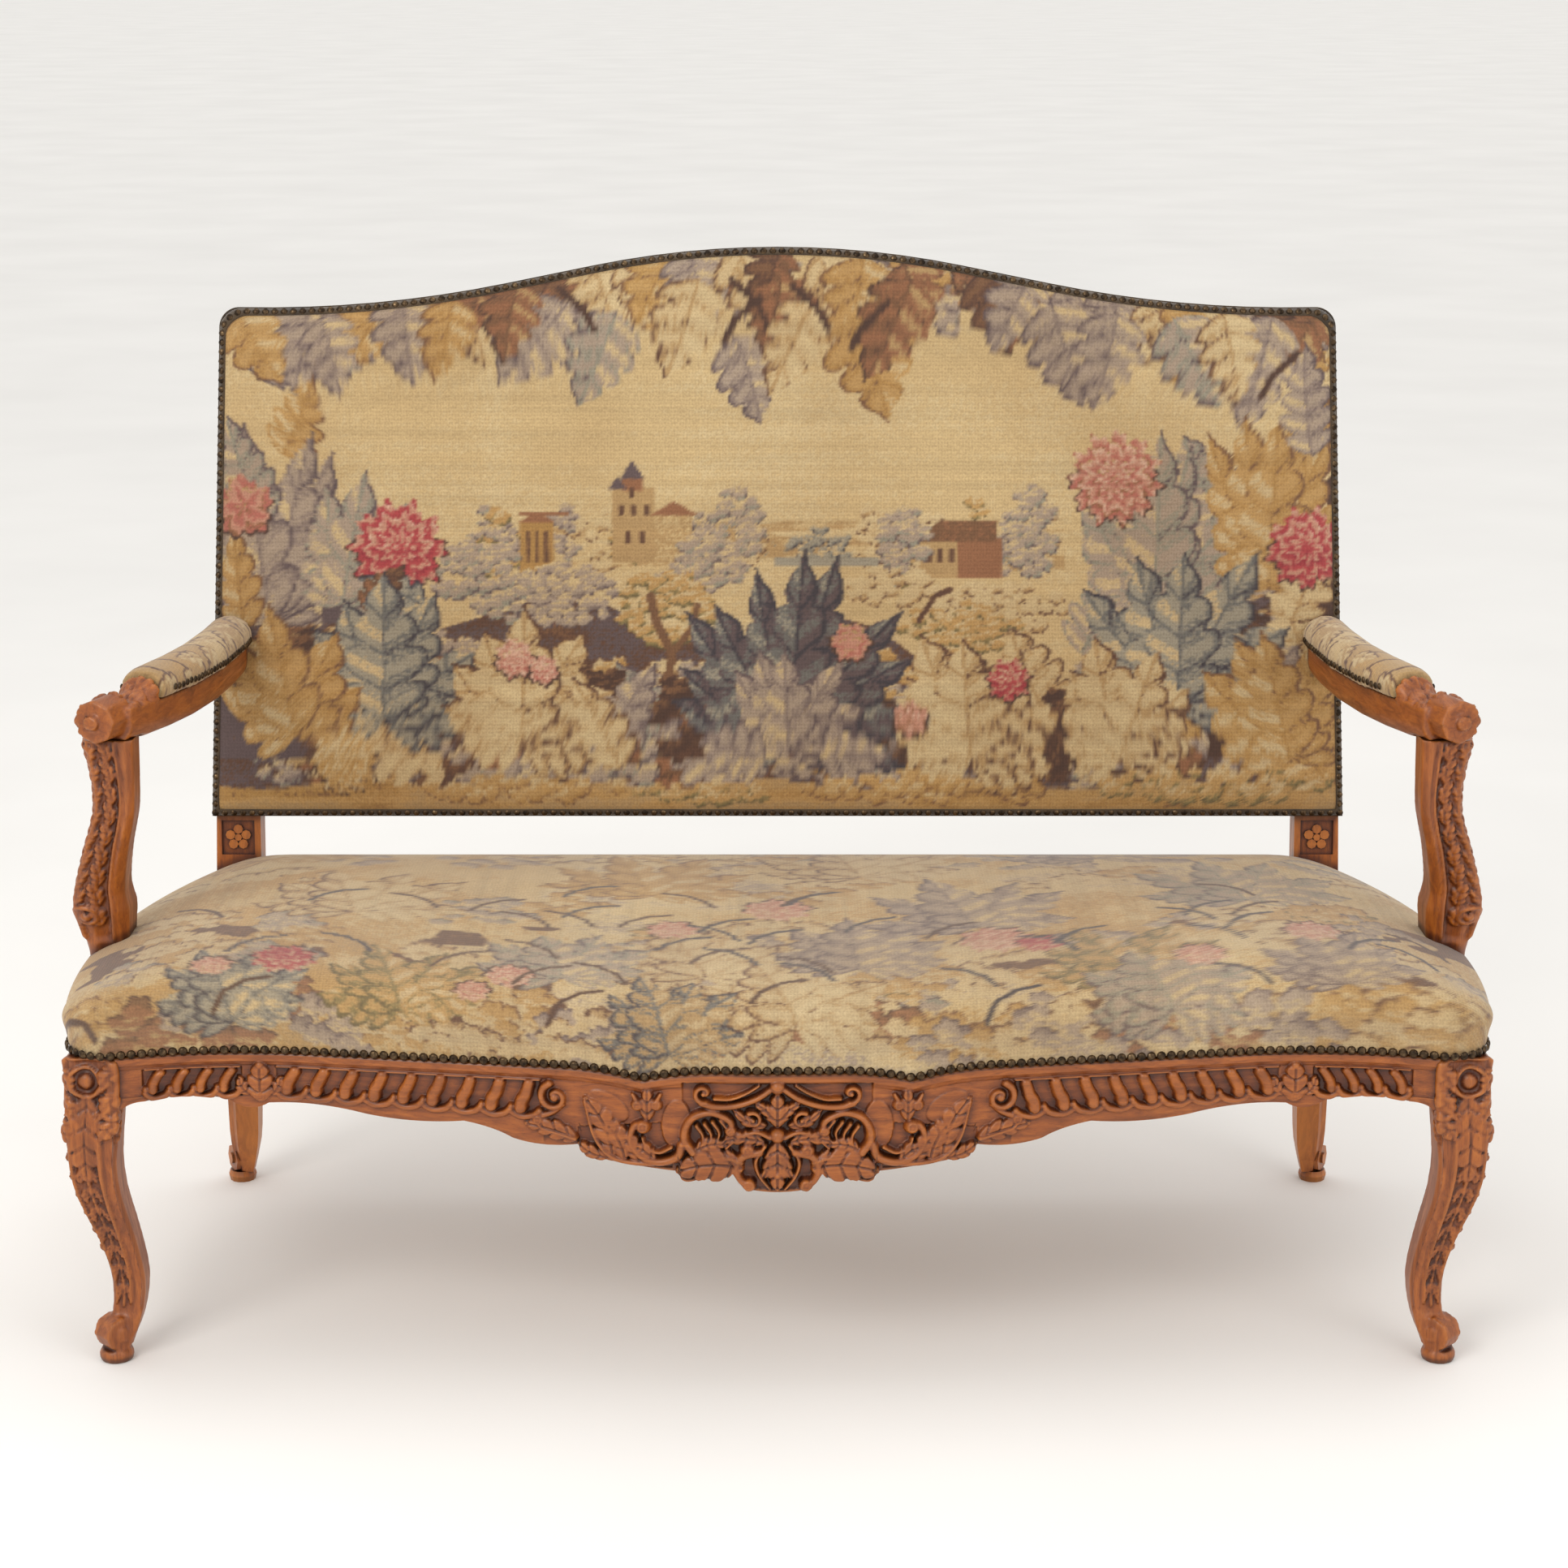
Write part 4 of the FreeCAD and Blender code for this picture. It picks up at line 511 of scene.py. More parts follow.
class Weaving(Field):
    """A grid of stitches; positions are given in drawing units."""

    def __init__(self, x0, x1, y0, y1, step, seed):
        super().__init__(x0, x1, y0, y1, step, 1)
        self.rgb = np.zeros((self.rows, self.cols, 3))
        self.jitter = rand(seed).rand(self.rows, self.cols)

    def tint(self, view, mask, tone, palette, spread=0.5):
        """Lays yarns of stepped tones where the mask is set; jitter hatches the steps."""
        t = tone + (self.jitter[view] - 0.5) * spread / 2
        k = np.clip(np.round(t * (len(palette) - 1)).astype(int), 0, len(palette) - 1)
        self.rgb[view][mask] = np.array(palette)[k][mask]

    def leaf(self, x, y, length, width, angle, palette, lobes, curl=0.0):
        """Lobed leaf from its foot at (x, y), growing along the angle (degrees, 90 is up)."""
        a = math.radians(angle)
        ux, uy = math.cos(a), -math.sin(a)
        reach = length * 0.62 + width / 2 + abs(curl)
        view, dx, dy = self.window(x + ux * length / 2, y + uy * length / 2, reach)
        dx = dx + ux * length / 2
        dy = dy + uy * length / 2
        u = (dx * ux + dy * uy) / length
        uc = np.clip(u, 0.0, 1.0)
        v = -dx * uy + dy * ux - curl * uc ** 2
        side = np.abs(v)
        saw = (uc * lobes - np.clip(side / (width / 2), 0, 1.2) * 0.55 + 0.3) % 1.0
        lobe = np.clip(1.0 - 0.5 * np.abs(2 * saw - 1) ** 3.0, 0.2, 1)
        edge = np.sin(math.pi * uc ** 0.72) ** 0.75 * (1 - 0.25 * uc) * lobe * width * 0.62
        inside = (u > 0) & (u < 1) & (side < edge)
        rim = (u > -0.02) & (u < 1.03) & (side < edge + self.step * 1.6) & ~inside
        share = side / np.maximum(edge, 1e-3)
        vein = (uc * lobes + 0.15 - share * 0.55) % 1.0
        tone = (0.66 - 0.30 * (vein > 0.84) + 0.20 * ((vein > 0.25) & (vein < 0.55))
                - 0.22 * (v > 0) - 0.25 * (share > 0.86) + 0.1 * (1 - uc))
        tone = np.where(side < self.step * 0.9, 0.28, tone)
        self.tint(view, rim & (v > -edge * 0.6), 0.0, palette, 0.0)
        self.tint(view, inside, tone, palette)

    def plume(self, x, y, count, length, width, start, end, palette, lobes, curl, seed):
        """A plant: leaves fanned from one foot, the outer ones first."""
        r = rand(seed)
        for k in np.argsort(-np.abs(np.linspace(-1, 1, count))):
            f = k / (count - 1)
            angle = start + (end - start) * f + r.uniform(-5, 5)
            long = length * (0.72 + 0.4 * math.sin(math.pi * f)) * r.uniform(0.9, 1.1)
            bend = curl * (1 if f > 0.5 else -1) * abs(f - 0.5) * 2
            wide = width * r.uniform(1.1, 1.45)
            self.leaf(x, y, long, wide, angle, palette, max(lobes - 1, 3), -bend if angle < 90 else bend)

    def flower(self, x, y, radius, palette, frills, rings, seed):
        """Frilled double flower seen from the front."""
        view, dx, dy = self.window(x, y, radius * 1.3)
        th = np.arctan2(dy, dx)
        rho = np.hypot(dx, dy) / radius
        p1, p2 = rand(seed).uniform(0, 6, 2)
        edge = 0.86 + 0.09 * np.sin(th * frills + p1) + 0.07 * np.sin(th * (frills * 2 + 3) + p2)
        inside = rho < edge
        frill = (rho * rings - 0.26 * np.sin(th * frills + p1 + rho * 2)
                 - 0.12 * np.sin(th * (frills * 2 + 1) + p2))
        rim = (rho < edge + self.step * 1.5 / radius) & ~inside & (dy > -radius * 0.2)
        self.tint(view, rim, 0.0, OUTLINE, 0.0)
        self.tint(view, inside, 0.15 + 0.75 * (frill % 1.0) - 0.15 * (dy > 0), palette)

    def bush(self, x, y, wide, high, palette, count, size, seed):
        """Massed leaflets, lit from above."""
        r = rand(seed)
        leaflets = []
        for _ in range(count):
            a, q = r.uniform(0, 2 * math.pi), math.sqrt(r.uniform(0, 1))
            leaflets.append((x + math.cos(a) * q * wide / 2, y + math.sin(a) * q * high / 2,
                             r.uniform(0.7, 1.25) * size, r.uniform(-0.12, 0.12)))
        for px, py, s, shift in sorted(leaflets, key=lambda leaflet: leaflet[1]):
            view, dx, dy = self.window(px, py, s)
            th = np.arctan2(dy, dx)
            rho = np.hypot(dx, dy * 1.25) / (s * (0.62 + 0.1 * np.sin(th * 5 + px)))
            tone = 0.62 - dy / s * 0.62 - dx / s * 0.2 + shift - 0.5 * (rho > 0.82) * (dy > 0)
            self.tint(view, rho < 1, tone, palette, 0.4)

    def band(self, points, half, palette, tone=0.0):
        """A stem or bough through points."""
        for (xa, ya), (xb, yb) in zip(points, points[1:]):
            n = max(int(math.hypot(xb - xa, yb - ya) / (self.step * 0.7)), 1)
            for k in range(n):
                f = k / n
                view, dx, dy = self.window(xa + (xb - xa) * f, ya + (yb - ya) * f, half)
                self.tint(view, np.hypot(dx, dy) < half, tone, palette, 0.2)

    def patch(self, x0, x1, y0, y1, palette, tone):
        """A wall or a window."""
        reach = max(x1 - x0, y1 - y0) / 2 + self.step
        view, dx, dy = self.window((x0 + x1) / 2, (y0 + y1) / 2, reach)
        mask = (np.abs(dx) <= (x1 - x0) / 2) & (np.abs(dy) <= (y1 - y0) / 2)
        self.tint(view, mask, tone, palette, 0.4)

    def gable(self, x, y, half, high, palette, tone):
        view, dx, dy = self.window(x, y, max(half, high) + self.step)
        mask = (dy <= 0) & (dy >= -high) & (np.abs(dx) <= half * (1 + dy / high))
        self.tint(view, mask, tone, palette, 0.2)

    def noise(self, scale_x, scale_y, seed):
        """Smooth noise from 0 to 1 over the whole grid."""
        r = rand(seed)
        total = np.zeros((self.rows, self.cols))
        for k in (1, 2, 4):
            nx = max(int(self.cols * self.step / scale_x * k), 2)
            ny = max(int(self.rows * self.step / scale_y * k), 2)
            g = r.rand(ny + 2, nx + 2)
            yy = np.linspace(0, ny, self.rows)
            xx = np.linspace(0, nx, self.cols)
            y0 = np.minimum(yy.astype(int), ny)
            x0 = np.minimum(xx.astype(int), nx)
            fy = (yy - y0)[:, None]
            fx = (xx - x0)[None, :]
            fy = fy * fy * (3 - 2 * fy)
            fx = fx * fx * (3 - 2 * fx)
            a, b = g[y0][:, x0], g[y0][:, x0 + 1]
            c, d = g[y0 + 1][:, x0], g[y0 + 1][:, x0 + 1]
            total += (a * (1 - fx) * (1 - fy) + b * fx * (1 - fy) + c * (1 - fx) * fy + d * fx * fy) / k
        return (total - total.min()) / (total.max() - total.min())

    def wash(self, mask, tone, palette):
        self.tint(np.s_[:, :], mask, tone, palette)

    def wear(self, scale_x, scale_y):
        """Worn wefts: thin lines of neighbouring tones."""
        self.rgb *= (0.95 + 0.09 * self.noise(scale_x, scale_y, 33))[..., None]

    def sample(self, x, y):
        return self.blend(self.rgb, x, y)


# Middle of the back in drawing units
BACK_MIDDLE = 956


def shadow_and_ground(w, gx, gy, low):
    """Lower ground: shadow between the massed plants, and the pale earth in front."""
    wings = np.clip((np.abs(gx - BACK_MIDDLE) - 330) / 350, 0, 1)
    horizon = 800 + 50 * np.sin(gx / 170.0) + 34 * np.sin(gx / 61.0) - 190 * wings
    w.wash((gy > horizon) & (gy < 985), low, tones("dark umber dlilac umber brown rust"))
    q = rand(77)
    for k in range(190):
        x = q.uniform(262, 1650)
        reach = 0.55 * max(abs(x - BACK_MIDDLE) - 330, 0)
        w.bush(x, q.uniform(830 - reach, 968), q.uniform(40, 96), q.uniform(34, 66),
               pick(q, GREY, CREAM, LILAC, OCHRE, LILAC, BROWN, GREY), 9, 19, 700 + k)
    w.wash(gy > 960 + 6 * np.sin(gx / 40.0), w.noise(70, 14, 9), tones("brown gold ochre tan ochre"))


def upper_border(w, gx, gy, r):
    """Boughs of oak and acanthus leaves that hang from the top."""
    up = w.noise(90, 60, 11)
    eave = (372 + 40 * np.sin(gx / 96.0 + 0.6) + 30 * np.abs(gx - BACK_MIDDLE) / 690
            + 26 * np.sin(gx / 41.0))
    w.wash((gy < eave) & (up > 0.56), up, tones("dlilac brown lilac tan"))
    for k in range(60):
        x = 268 + 1376 * (k + r.uniform(0, 1)) / 60
        roof = 322 + 66 * min(abs(x - BACK_MIDDLE) / 560, 1.0) ** 1.6
        w.bush(x, roof + r.uniform(2, 64), r.uniform(48, 92), r.uniform(34, 62),
               pick(r, GREY, LILAC, OCHRE, LILAC, CREAM, BROWN), 9, 18, 900 + k)
    for x, y, angle, palette in [
        (330, 420, -60, LILAC), (385, 400, -100, LILAC), (430, 385, -80, LILAC), (480, 395, -120, OCHRE),
        (525, 380, -80, OCHRE), (560, 372, -50, CREAM), (600, 358, -100, BROWN), (640, 350, -70, DARK),
        (690, 345, -120, DARK), (730, 340, -80, CREAM), (775, 340, -60, CREAM), (820, 345, -110, OCHRE),
        (850, 335, -70, LILAC), (905, 330, -60, CREAM), (960, 330, -110, DARK), (1005, 340, -60, CREAM),
        (1060, 345, -100, OCHRE), (1110, 350, -70, BROWN), (1170, 345, -30, BROWN), (1215, 352, -80, DARK),
        (1265, 360, -110, LILAC), (1320, 370, -70, LILAC), (1370, 376, -100, LILAC), (1420, 384, -60, CREAM),
        (1470, 388, -100, OCHRE), (1520, 394, -70, LILAC), (1580, 394, -100, DARK), (1625, 400, -120, BROWN),
        (300, 410, -60, OCHRE),
    ]:
        w.leaf(x, y - 18, r.uniform(76, 110), r.uniform(58, 84), angle + r.uniform(-12, 12), palette,
               r.randint(3, 5), r.uniform(-12, 12))
    for x, y, length, width, angle, palette in [
        (500, 372, 104, 66, -88, LILAC), (700, 380, 124, 78, -128, LILAC), (760, 392, 118, 70, -112, GREY),
        (860, 352, 120, 70, -104, CREAM), (905, 420, 104, 64, -66, LILAC), (960, 352, 86, 58, -96, BROWN),
        (1050, 372, 150, 92, -72, OCHRE), (1000, 380, 120, 60, -120, CREAM),
        (1120, 352, 130, 70, -112, BROWN),
        (1290, 380, 128, 74, -72, LILAC), (1370, 392, 116, 70, -100, LILAC), (1440, 398, 120, 70, -62, GREY),
        (1560, 396, 140, 70, -104, LILAC), (1500, 392, 108, 60, -78, CREAM), (640, 352, 98, 60, -104, BROWN),
        (400, 398, 92, 58, -70, LILAC), (560, 376, 96, 54, -96, OCHRE),
    ]:
        w.leaf(x, y, length, width * 1.15, angle, palette, 4, r.uniform(-14, 14))
    for k, (x, y) in enumerate([(900, 352), (935, 372), (975, 360), (1090, 380), (690, 362), (1590, 440)]):
        turn = (-1) ** k
        w.band([(x, y), (x + 30 * turn, y + 26), (x + 44 * turn, y + 52)], 4.2, DARK)


def far_landscape(w, gx, gy, r):
    """Wooded banks, a pond, a castle, a hut and a house."""
    strip = (gy > 640) & (gy < 700) & (np.abs(gx - 950) < 360) & (w.noise(90, 12, 31) > 0.45)
    w.wash(strip, w.noise(60, 10, 32), tones("grey tan sand pale"))
    for k in range(40):
        x = r.uniform(570, 1290)
        if 930 < x < 1050:
            continue
        w.bush(x, r.uniform(640, 690), 34, 74 * r.uniform(0.5, 1.1), pick(r, GREY, LILAC, OLIVE, CREAM),
               12, 12, 100 + k)
    w.bush(1012, 672, 86, 34, BLUE, 26, 11, 41)
    w.bush(1010, 656, 34, 30, BLUE, 10, 10, 42)
    wall, gable, pane = w.patch, w.gable, "umber brown"
    for draw, a, b, c, d, dyes, tone in [
        (wall, 952, 1080, 684, 694, "tan lblue pale", 0.5),
        (wall, 752, 806, 600, 690, "brown rust tan sand", 0.62),
        (wall, 766, 790, 586, 604, "brown rust tan", 0.4),
        (gable, 778, 588, 14, 22, "dlilac blue", 0.4),
        (gable, 760, 602, 12, 16, "dlilac blue", 0.2),
        *[(wall, x - 3, x + 3, y - 7, y + 6, pane, 0.2)
          for x, y in ((764, 628), (780, 628), (796, 628), (772, 660), (790, 660), (778, 606))],
        (wall, 806, 852, 630, 690, "brown tan sand", 0.72),
        (gable, 829, 632, 28, 16, "rust lilac", 0.3),
        (wall, 640, 682, 640, 700, "rust gold ochre", 0.45),
        (gable, 661, 642, 24, 14, "rust brown", 0.2),
        *[(wall, x - 2.5, x + 2.5, 652, 690, pane, 0.5) for x in (650, 661, 672)],
        (wall, 640, 700, 628, 634, "rust gold", 0.4),
        (wall, 1130, 1232, 660, 708, "brown tan sand", 0.62),
        (wall, 1178, 1232, 660, 708, "brown rust tan", 0.5),
        (gable, 1156, 664, 30, 26, "brown rust", 0.4),
        (wall, 1156, 1226, 640, 664, "umber brown rust", 0.7),
        *[(wall, x - 3, x + 3, 672, 690, pane, 0.3) for x in (1142, 1156, 1170)],
    ]:
        draw(a, b, c, d, tones(dyes), tone)
    for x, y, wide, high, palette, seed in [
        (600, 690, 70, 90, GREY, 51), (640, 730, 120, 60, GREY, 52), (700, 730, 110, 80, LILAC, 53),
        (905, 650, 60, 110, GREY, 54), (870, 690, 90, 70, GREY, 55), (1110, 660, 60, 80, GREY, 56),
        (1270, 650, 60, 110, GREY, 57), (1100, 720, 120, 40, CREAM, 58), (820, 745, 120, 90, OLIVE, 59),
        (1230, 745, 170, 60, CREAM, 60), (1180, 770, 150, 60, OLIVE, 61), (560, 700, 60, 60, GREY, 62),
    ]:
        w.bush(x, y, wide, high, palette, int(wide * high / 110), 13, seed)
    w.band([(820, 840), (826, 800), (806, 760), (800, 730)], 5.5, BROWN, 0.3)
    w.band([(826, 800), (850, 770), (858, 740)], 4.0, BROWN, 0.3)
    w.band([(1130, 760), (1150, 730), (1170, 722)], 3.5, DARK, 0.4)


def side_plants(w, gx, gy, low, r):
    """Tall plants and carnations at both sides, over shadow and broad leaves."""
    for sx, dyes in ((-1, "umber dlilac brown"), (1, "umber dark dlilac")):
        reach = 690 - 190 * np.clip((gy - 470) / 330, 0, 1) - 60 * w.noise(120, 90, 60 + sx)
        shade = ((gx - BACK_MIDDLE) * sx > reach + 40) & (gy > 500) & (gy < 930)
        w.wash(shade & (w.noise(60, 50, 64 + sx) > 0.5), low, tones(dyes))
    for x, y, length, width, angle, palette in [
        (300, 700, 130, 80, 80, GREY), (290, 880, 130, 84, 60, OCHRE), (350, 560, 96, 62, 60, OCHRE),
        (372, 690, 120, 76, 100, LILAC), (430, 830, 110, 84, 150, CREAM), (560, 860, 110, 78, 40, LILAC),
        (520, 930, 110, 84, 160, CREAM), (700, 900, 110, 86, 30, CREAM), (800, 900, 96, 70, 120, GREY),
        (1090, 930, 110, 80, 60, LILAC), (1290, 880, 116, 84, 120, CREAM), (1330, 800, 100, 76, 60, GREY),
        (1500, 640, 110, 76, 120, GREY), (1570, 600, 120, 80, 60, OCHRE), (1620, 840, 130, 84, 110, CREAM),
        (1530, 880, 110, 80, 60, LILAC), (1640, 960, 110, 80, 130, OCHRE), (1420, 930, 120, 84, 70, OCHRE),
        (1220, 960, 110, 80, 30, OCHRE), (900, 950, 110, 76, 150, LILAC),
    ]:
        w.leaf(x, y, length, width, angle, palette, 4, r.uniform(-14, 14))
    w.plume(330, 760, 7, 210, 62, 60, 128, LILAC, 5, 30, 71)
    w.plume(420, 740, 5, 150, 54, 40, 120, GREY, 4, 26, 72)
    w.leaf(330, 640, 130, 60, 120, GREY, 5, 20)
    w.leaf(300, 770, 120, 50, 100, OCHRE, 4, 10)
    w.flower(300, 622, 40, tones("rust rose pink tan"), 5, 1.4, 73)
    w.flower(490, 672, 62, RED, 10, 3.2, 74)
    w.leaf(520, 742, 84, 40, 150, BLUE, 4, -12)
    w.leaf(450, 748, 70, 40, 60, DARK, 4, 12)
    w.plume(1420, 760, 7, 190, 58, 48, 136, GREY, 5, 30, 75)
    w.plume(1560, 720, 6, 190, 60, 56, 128, OCHRE, 5, 24, 76)
    w.leaf(1610, 560, 130, 60, 100, LILAC, 5, 12)
    w.leaf(1590, 760, 130, 70, 70, CREAM, 5, 12)
    w.flower(1370, 588, 60, tones("rust rose pink lpink tan"), 11, 3.0, 77)
    w.flower(1606, 672, 52, RED, 9, 3.0, 78)


def foreground(w):
    """Leafy plants in front, with shadow between them, and the dark acanthus in the middle."""
    for x, y in ((585, 850), (730, 860), (845, 880), (1075, 905), (1180, 850), (1310, 900), (400, 810),
                 (1520, 800), (930, 880)):
        w.bush(x, y, 90, 96, tones("dark umber dark brown"), 26, 22, x)
    w.plume(470, 880, 7, 150, 66, 24, 156, BLUE, 5, 30, 81)
    w.plume(360, 900, 5, 130, 58, 50, 150, OCHRE, 4, 20, 82)
    w.plume(640, 905, 7, 130, 70, 10, 170, CREAM, 5, 26, 83)
    w.leaf(740, 930, 130, 64, 70, LILAC, 5, 20)
    w.leaf(760, 940, 120, 60, 110, CREAM, 4, -16)
    for x, y, count, length, width, start, end, palette, lobes, curl, seed in [
        (1195, 930, 7, 140, 70, 14, 166, CREAM, 5, 26, 84),
        (1450, 860, 7, 176, 70, 20, 160, BLUE, 5, 34, 85),
        (1380, 930, 6, 130, 64, 30, 150, CREAM, 5, 24, 86),
        (1590, 930, 6, 150, 66, 60, 160, OCHRE, 5, 20, 87),
        (970, 905, 11, 190, 54, 4, 176, tones("navy navy dlilac blue lblue"), 5, 46, 88),
        (970, 915, 7, 112, 46, 20, 160, LILAC, 4, 30, 89),
    ]:
        w.plume(x, y, count, length, width, start, end, palette, lobes, curl, seed)
    w.leaf(940, 930, 84, 70, 168, LILAC, 4, 6)
    w.leaf(1010, 930, 84, 60, 10, LILAC, 4, 6)
    for x, y, radius, palette, frills, rings, seed in [
        (632, 806, 26, PINK, 7, 2.0, 91), (668, 820, 20, PINK, 6, 2.0, 92), (1241, 832, 28, RED, 7, 2.0, 93),
        (1120, 880, 24, tones("rust pink lpink"), 6, 2.0, 94),
        (1046, 786, 26, tones("rose pink tan"), 6, 2.0, 95),
        (420, 930, 44, tones("gold ochre cream pale"), 12, 3.0, 96),
    ]:
        w.flower(x, y, radius, palette, frills, rings, seed)
    w.bush(1500, 960, 280, 40, OLIVE, 60, 17, 97)
    w.bush(650, 968, 260, 30, OCHRE, 46, 15, 98)
    w.bush(1120, 966, 280, 28, OCHRE, 50, 14, 99)
    w.bush(860, 972, 160, 24, OLIVE, 30, 14, 90)


def weave_back():
    w = Weaving(250, 1662, 296, 1016, 2.1, 5)
    gx, gy = w.grid()
    streak = w.noise(260, 14, 3) * 0.35 + w.noise(60, 700, 4) * 0.3 + w.noise(220, 200, 6) * 0.35
    w.wash(gx > 0, 0.25 + 0.75 * streak, tones("ochre tan sand sand pale pale"))
    low = w.noise(70, 50, 8)
    shadow_and_ground(w, gx, gy, low)
    r = rand(21)
    upper_border(w, gx, gy, r)
    far_landscape(w, gx, gy, r)
    side_plants(w, gx, gy, low, r)
    foreground(w)
    w.wear(300, 5)
    return w


def weave_seat():
    """Dense flowering foliage; the drawing's height is the way back from the front edge."""
    w = Weaving(-850, 850, -20, 800, 2.2, 15)
    gx, gy = w.grid()
    base = w.noise(240, 150, 3) * 0.55 + w.noise(70, 40, 5) * 0.45
    w.wash(gy > -99, base, tones("lilac tan ochre sand pale llilac sand"))
    w.wash((gx < -250) & (gy > 80) & (w.noise(200, 120, 7) > 0.45), base, tones("gold ochre sand pale"))
    r = rand(9)
    gaps = w.noise(90, 60, 18)
    w.wash((gaps > 0.68) & (gy > 40) & (gy < 290), gaps, tones("brown rust umber brown"))
    for k in range(110):
        x, y = r.uniform(-820, 820), r.uniform(110, 760)
        palette = pick(r, CREAM, LILAC, GREY, OCHRE, CREAM, OLIVE)
        w.bush(x, y, r.uniform(70, 150), r.uniform(50, 110), palette, 16, 24, 200 + k)
    for k in range(44):
        x = -820 + 1640 * (k + r.uniform(0, 1)) / 44
        w.bush(x, r.uniform(10, 80), 90, 60, pick(r, CREAM, OCHRE, LILAC, BROWN, CREAM), 14, 22, 300 + k)
    for k, (x, y, length, width, start, end, palette) in enumerate([
        (-610, 40, 120, 44, 30, 150, BLUE), (-420, 60, 130, 46, 20, 160, OLIVE),
        (-80, 150, 150, 70, 20, 170, CREAM), (20, 60, 130, 66, 10, 170, CREAM),
        (90, 170, 150, 60, 20, 140, LILAC), (400, 120, 150, 60, 20, 160, OLIVE),
        (440, 60, 120, 60, 10, 170, GREY), (640, 90, 130, 50, 40, 150, LILAC),
        (-240, 130, 130, 60, 30, 150, GREY), (230, 300, 170, 60, 20, 160, LILAC),
        (-500, 320, 170, 60, 20, 160, CREAM), (560, 360, 170, 60, 20, 160, GREY),
        (-150, 430, 170, 60, 20, 160, OCHRE), (100, 520, 170, 60, 20, 160, CREAM),
        (-640, 560, 150, 60, 20, 160, OCHRE), (400, 580, 150, 60, 20, 160, LILAC),
        (-120, 20, 110, 50, 30, 150, tones("navy blue tan cream")),
    ]):
        w.plume(x, y, 6, length, width, -end, -start, palette, 5, 22, 400 + k)
    for k, (x, y, radius, palette) in enumerate([
        (-560, 150, 40, RED), (-300, 130, 30, PINK), (-340, 92, 22, PINK), (250, 250, 46, PINK),
        (480, 170, 34, PINK), (-640, 130, 26, PINK), (300, 230, 30, RED), (0, 380, 44, PINK),
        (620, 240, 36, PINK), (-120, 300, 34, PINK),
    ]):
        w.flower(x, y, radius, palette, 8, 2.2, 500 + k)
    for k in range(46):
        x, y = r.uniform(-780, 780), r.uniform(20, 420)
        turn = r.choice([-1, 1])
        stem = [(x, y), (x + 12 * turn, y + 24), (x + 34 * turn, y + 44), (x + 62 * turn, y + 52)]
        w.band(stem, 3.0, pick(r, DARK, tones("navy dlilac")), 0.1)
    calm = w.noise(160, 90, 44)[..., None]
    sand, pale_lilac = tones("sand llilac")
    w.rgb = w.rgb * 0.80 + (sand * (1 - calm) + pale_lilac * calm) * 0.20
    w.wear(5, 300)
    return w


def weave_pad():
    w = Weaving(-120, 120, -20, 420, 2.2, 25)
    base = w.noise(50, 90, 3)
    w.wash(base > -1, base, tones("ochre tan sand pale"))
    for k in range(9):
        y = 10 + 44 * k
        w.band([(-90, y), (-30, y + 14), (20, y + 6), (90, y + 26)], 2.0, tones("umber brown"), 0.4)
        w.leaf(-20, y + 20, 46, 26, 60 + 60 * (k % 2), CREAM, 3)
    return w


def lay_yarn(obj, colours, uv):
    """Stores yarn colours and weave coordinates on the mesh."""
    mesh = obj.data
    light = linear(np.clip(colours * 0.95, 0, 255))
    rgba = np.concatenate([light, np.ones((len(light), 1))], 1)
    attr = mesh.color_attributes.new("Yarn", "FLOAT_COLOR", "POINT")
    attr.data.foreach_set("color", rgba.astype(np.float32).reshape(-1))
    layer = mesh.uv_layers.new(name="Weave")
    loops = np.empty(len(mesh.loops), np.int32)
    mesh.loops.foreach_get("vertex_index", loops)
    layer.data.foreach_set("uv", (uv[loops] * MM).astype(np.float32).reshape(-1))


# Cushions: a grid over the crown, closed below, swelled as cloth

def closed_cushion(name, top, bottom, edge):
    """Closes the grid of the crown with the grid of its underside; both share the edge's points."""
    rows, cols = edge.shape
    ids = np.arange(rows * cols).reshape(rows, cols)
    under = np.where(edge, ids, ids + rows * cols)
    faces = grid_faces(rows, cols)
    for j in range(rows - 1):
        for i in range(cols - 1):
            faces.append((under[j, i], under[j + 1, i], under[j + 1, i + 1], under[j, i + 1]))
    used = np.zeros(2 * rows * cols, bool)
    used[np.array(faces).reshape(-1)] = True
    place = np.cumsum(used) - 1
    faces = [tuple(int(place[k]) for k in face) for face in faces]
    return make_object(name, np.concatenate([top, bottom])[used], faces)


def swell(obj, pinned, cap):
    """Cloth with a little pressure inside; the movement is capped (mm)."""
    before = coords(obj)
    group = obj.vertex_groups.new(name="held")
    group.add([int(i) for i in np.nonzero(pinned)[0]], 1.0, "REPLACE")
    m = obj.modifiers.new("Cloth", "CLOTH")
    for key, value in {"quality": 5, "mass": 0.3, "tension_stiffness": 40, "compression_stiffness": 40,
                       "shear_stiffness": 20, "bending_stiffness": 8, "use_pressure": True,
                       "uniform_pressure_force": 3.0, "vertex_group_mass": "held"}.items():
        setattr(m.settings, key, value)
    m.settings.effector_weights.gravity = 0.0
    m.collision_settings.use_collision = False
    m.point_cache.frame_start = 1
    m.point_cache.frame_end = CLOTH_FRAMES
    for f in range(1, CLOTH_FRAMES + 1):
        bpy.context.scene.frame_set(f)
    apply_modifiers(obj)
    bpy.context.scene.frame_set(1)
    move = coords(obj) - before
    size = np.linalg.norm(move, axis=1, keepdims=True)
    put_coords(obj, before + move * np.minimum(1.0, cap / np.maximum(size, 1e-6)))


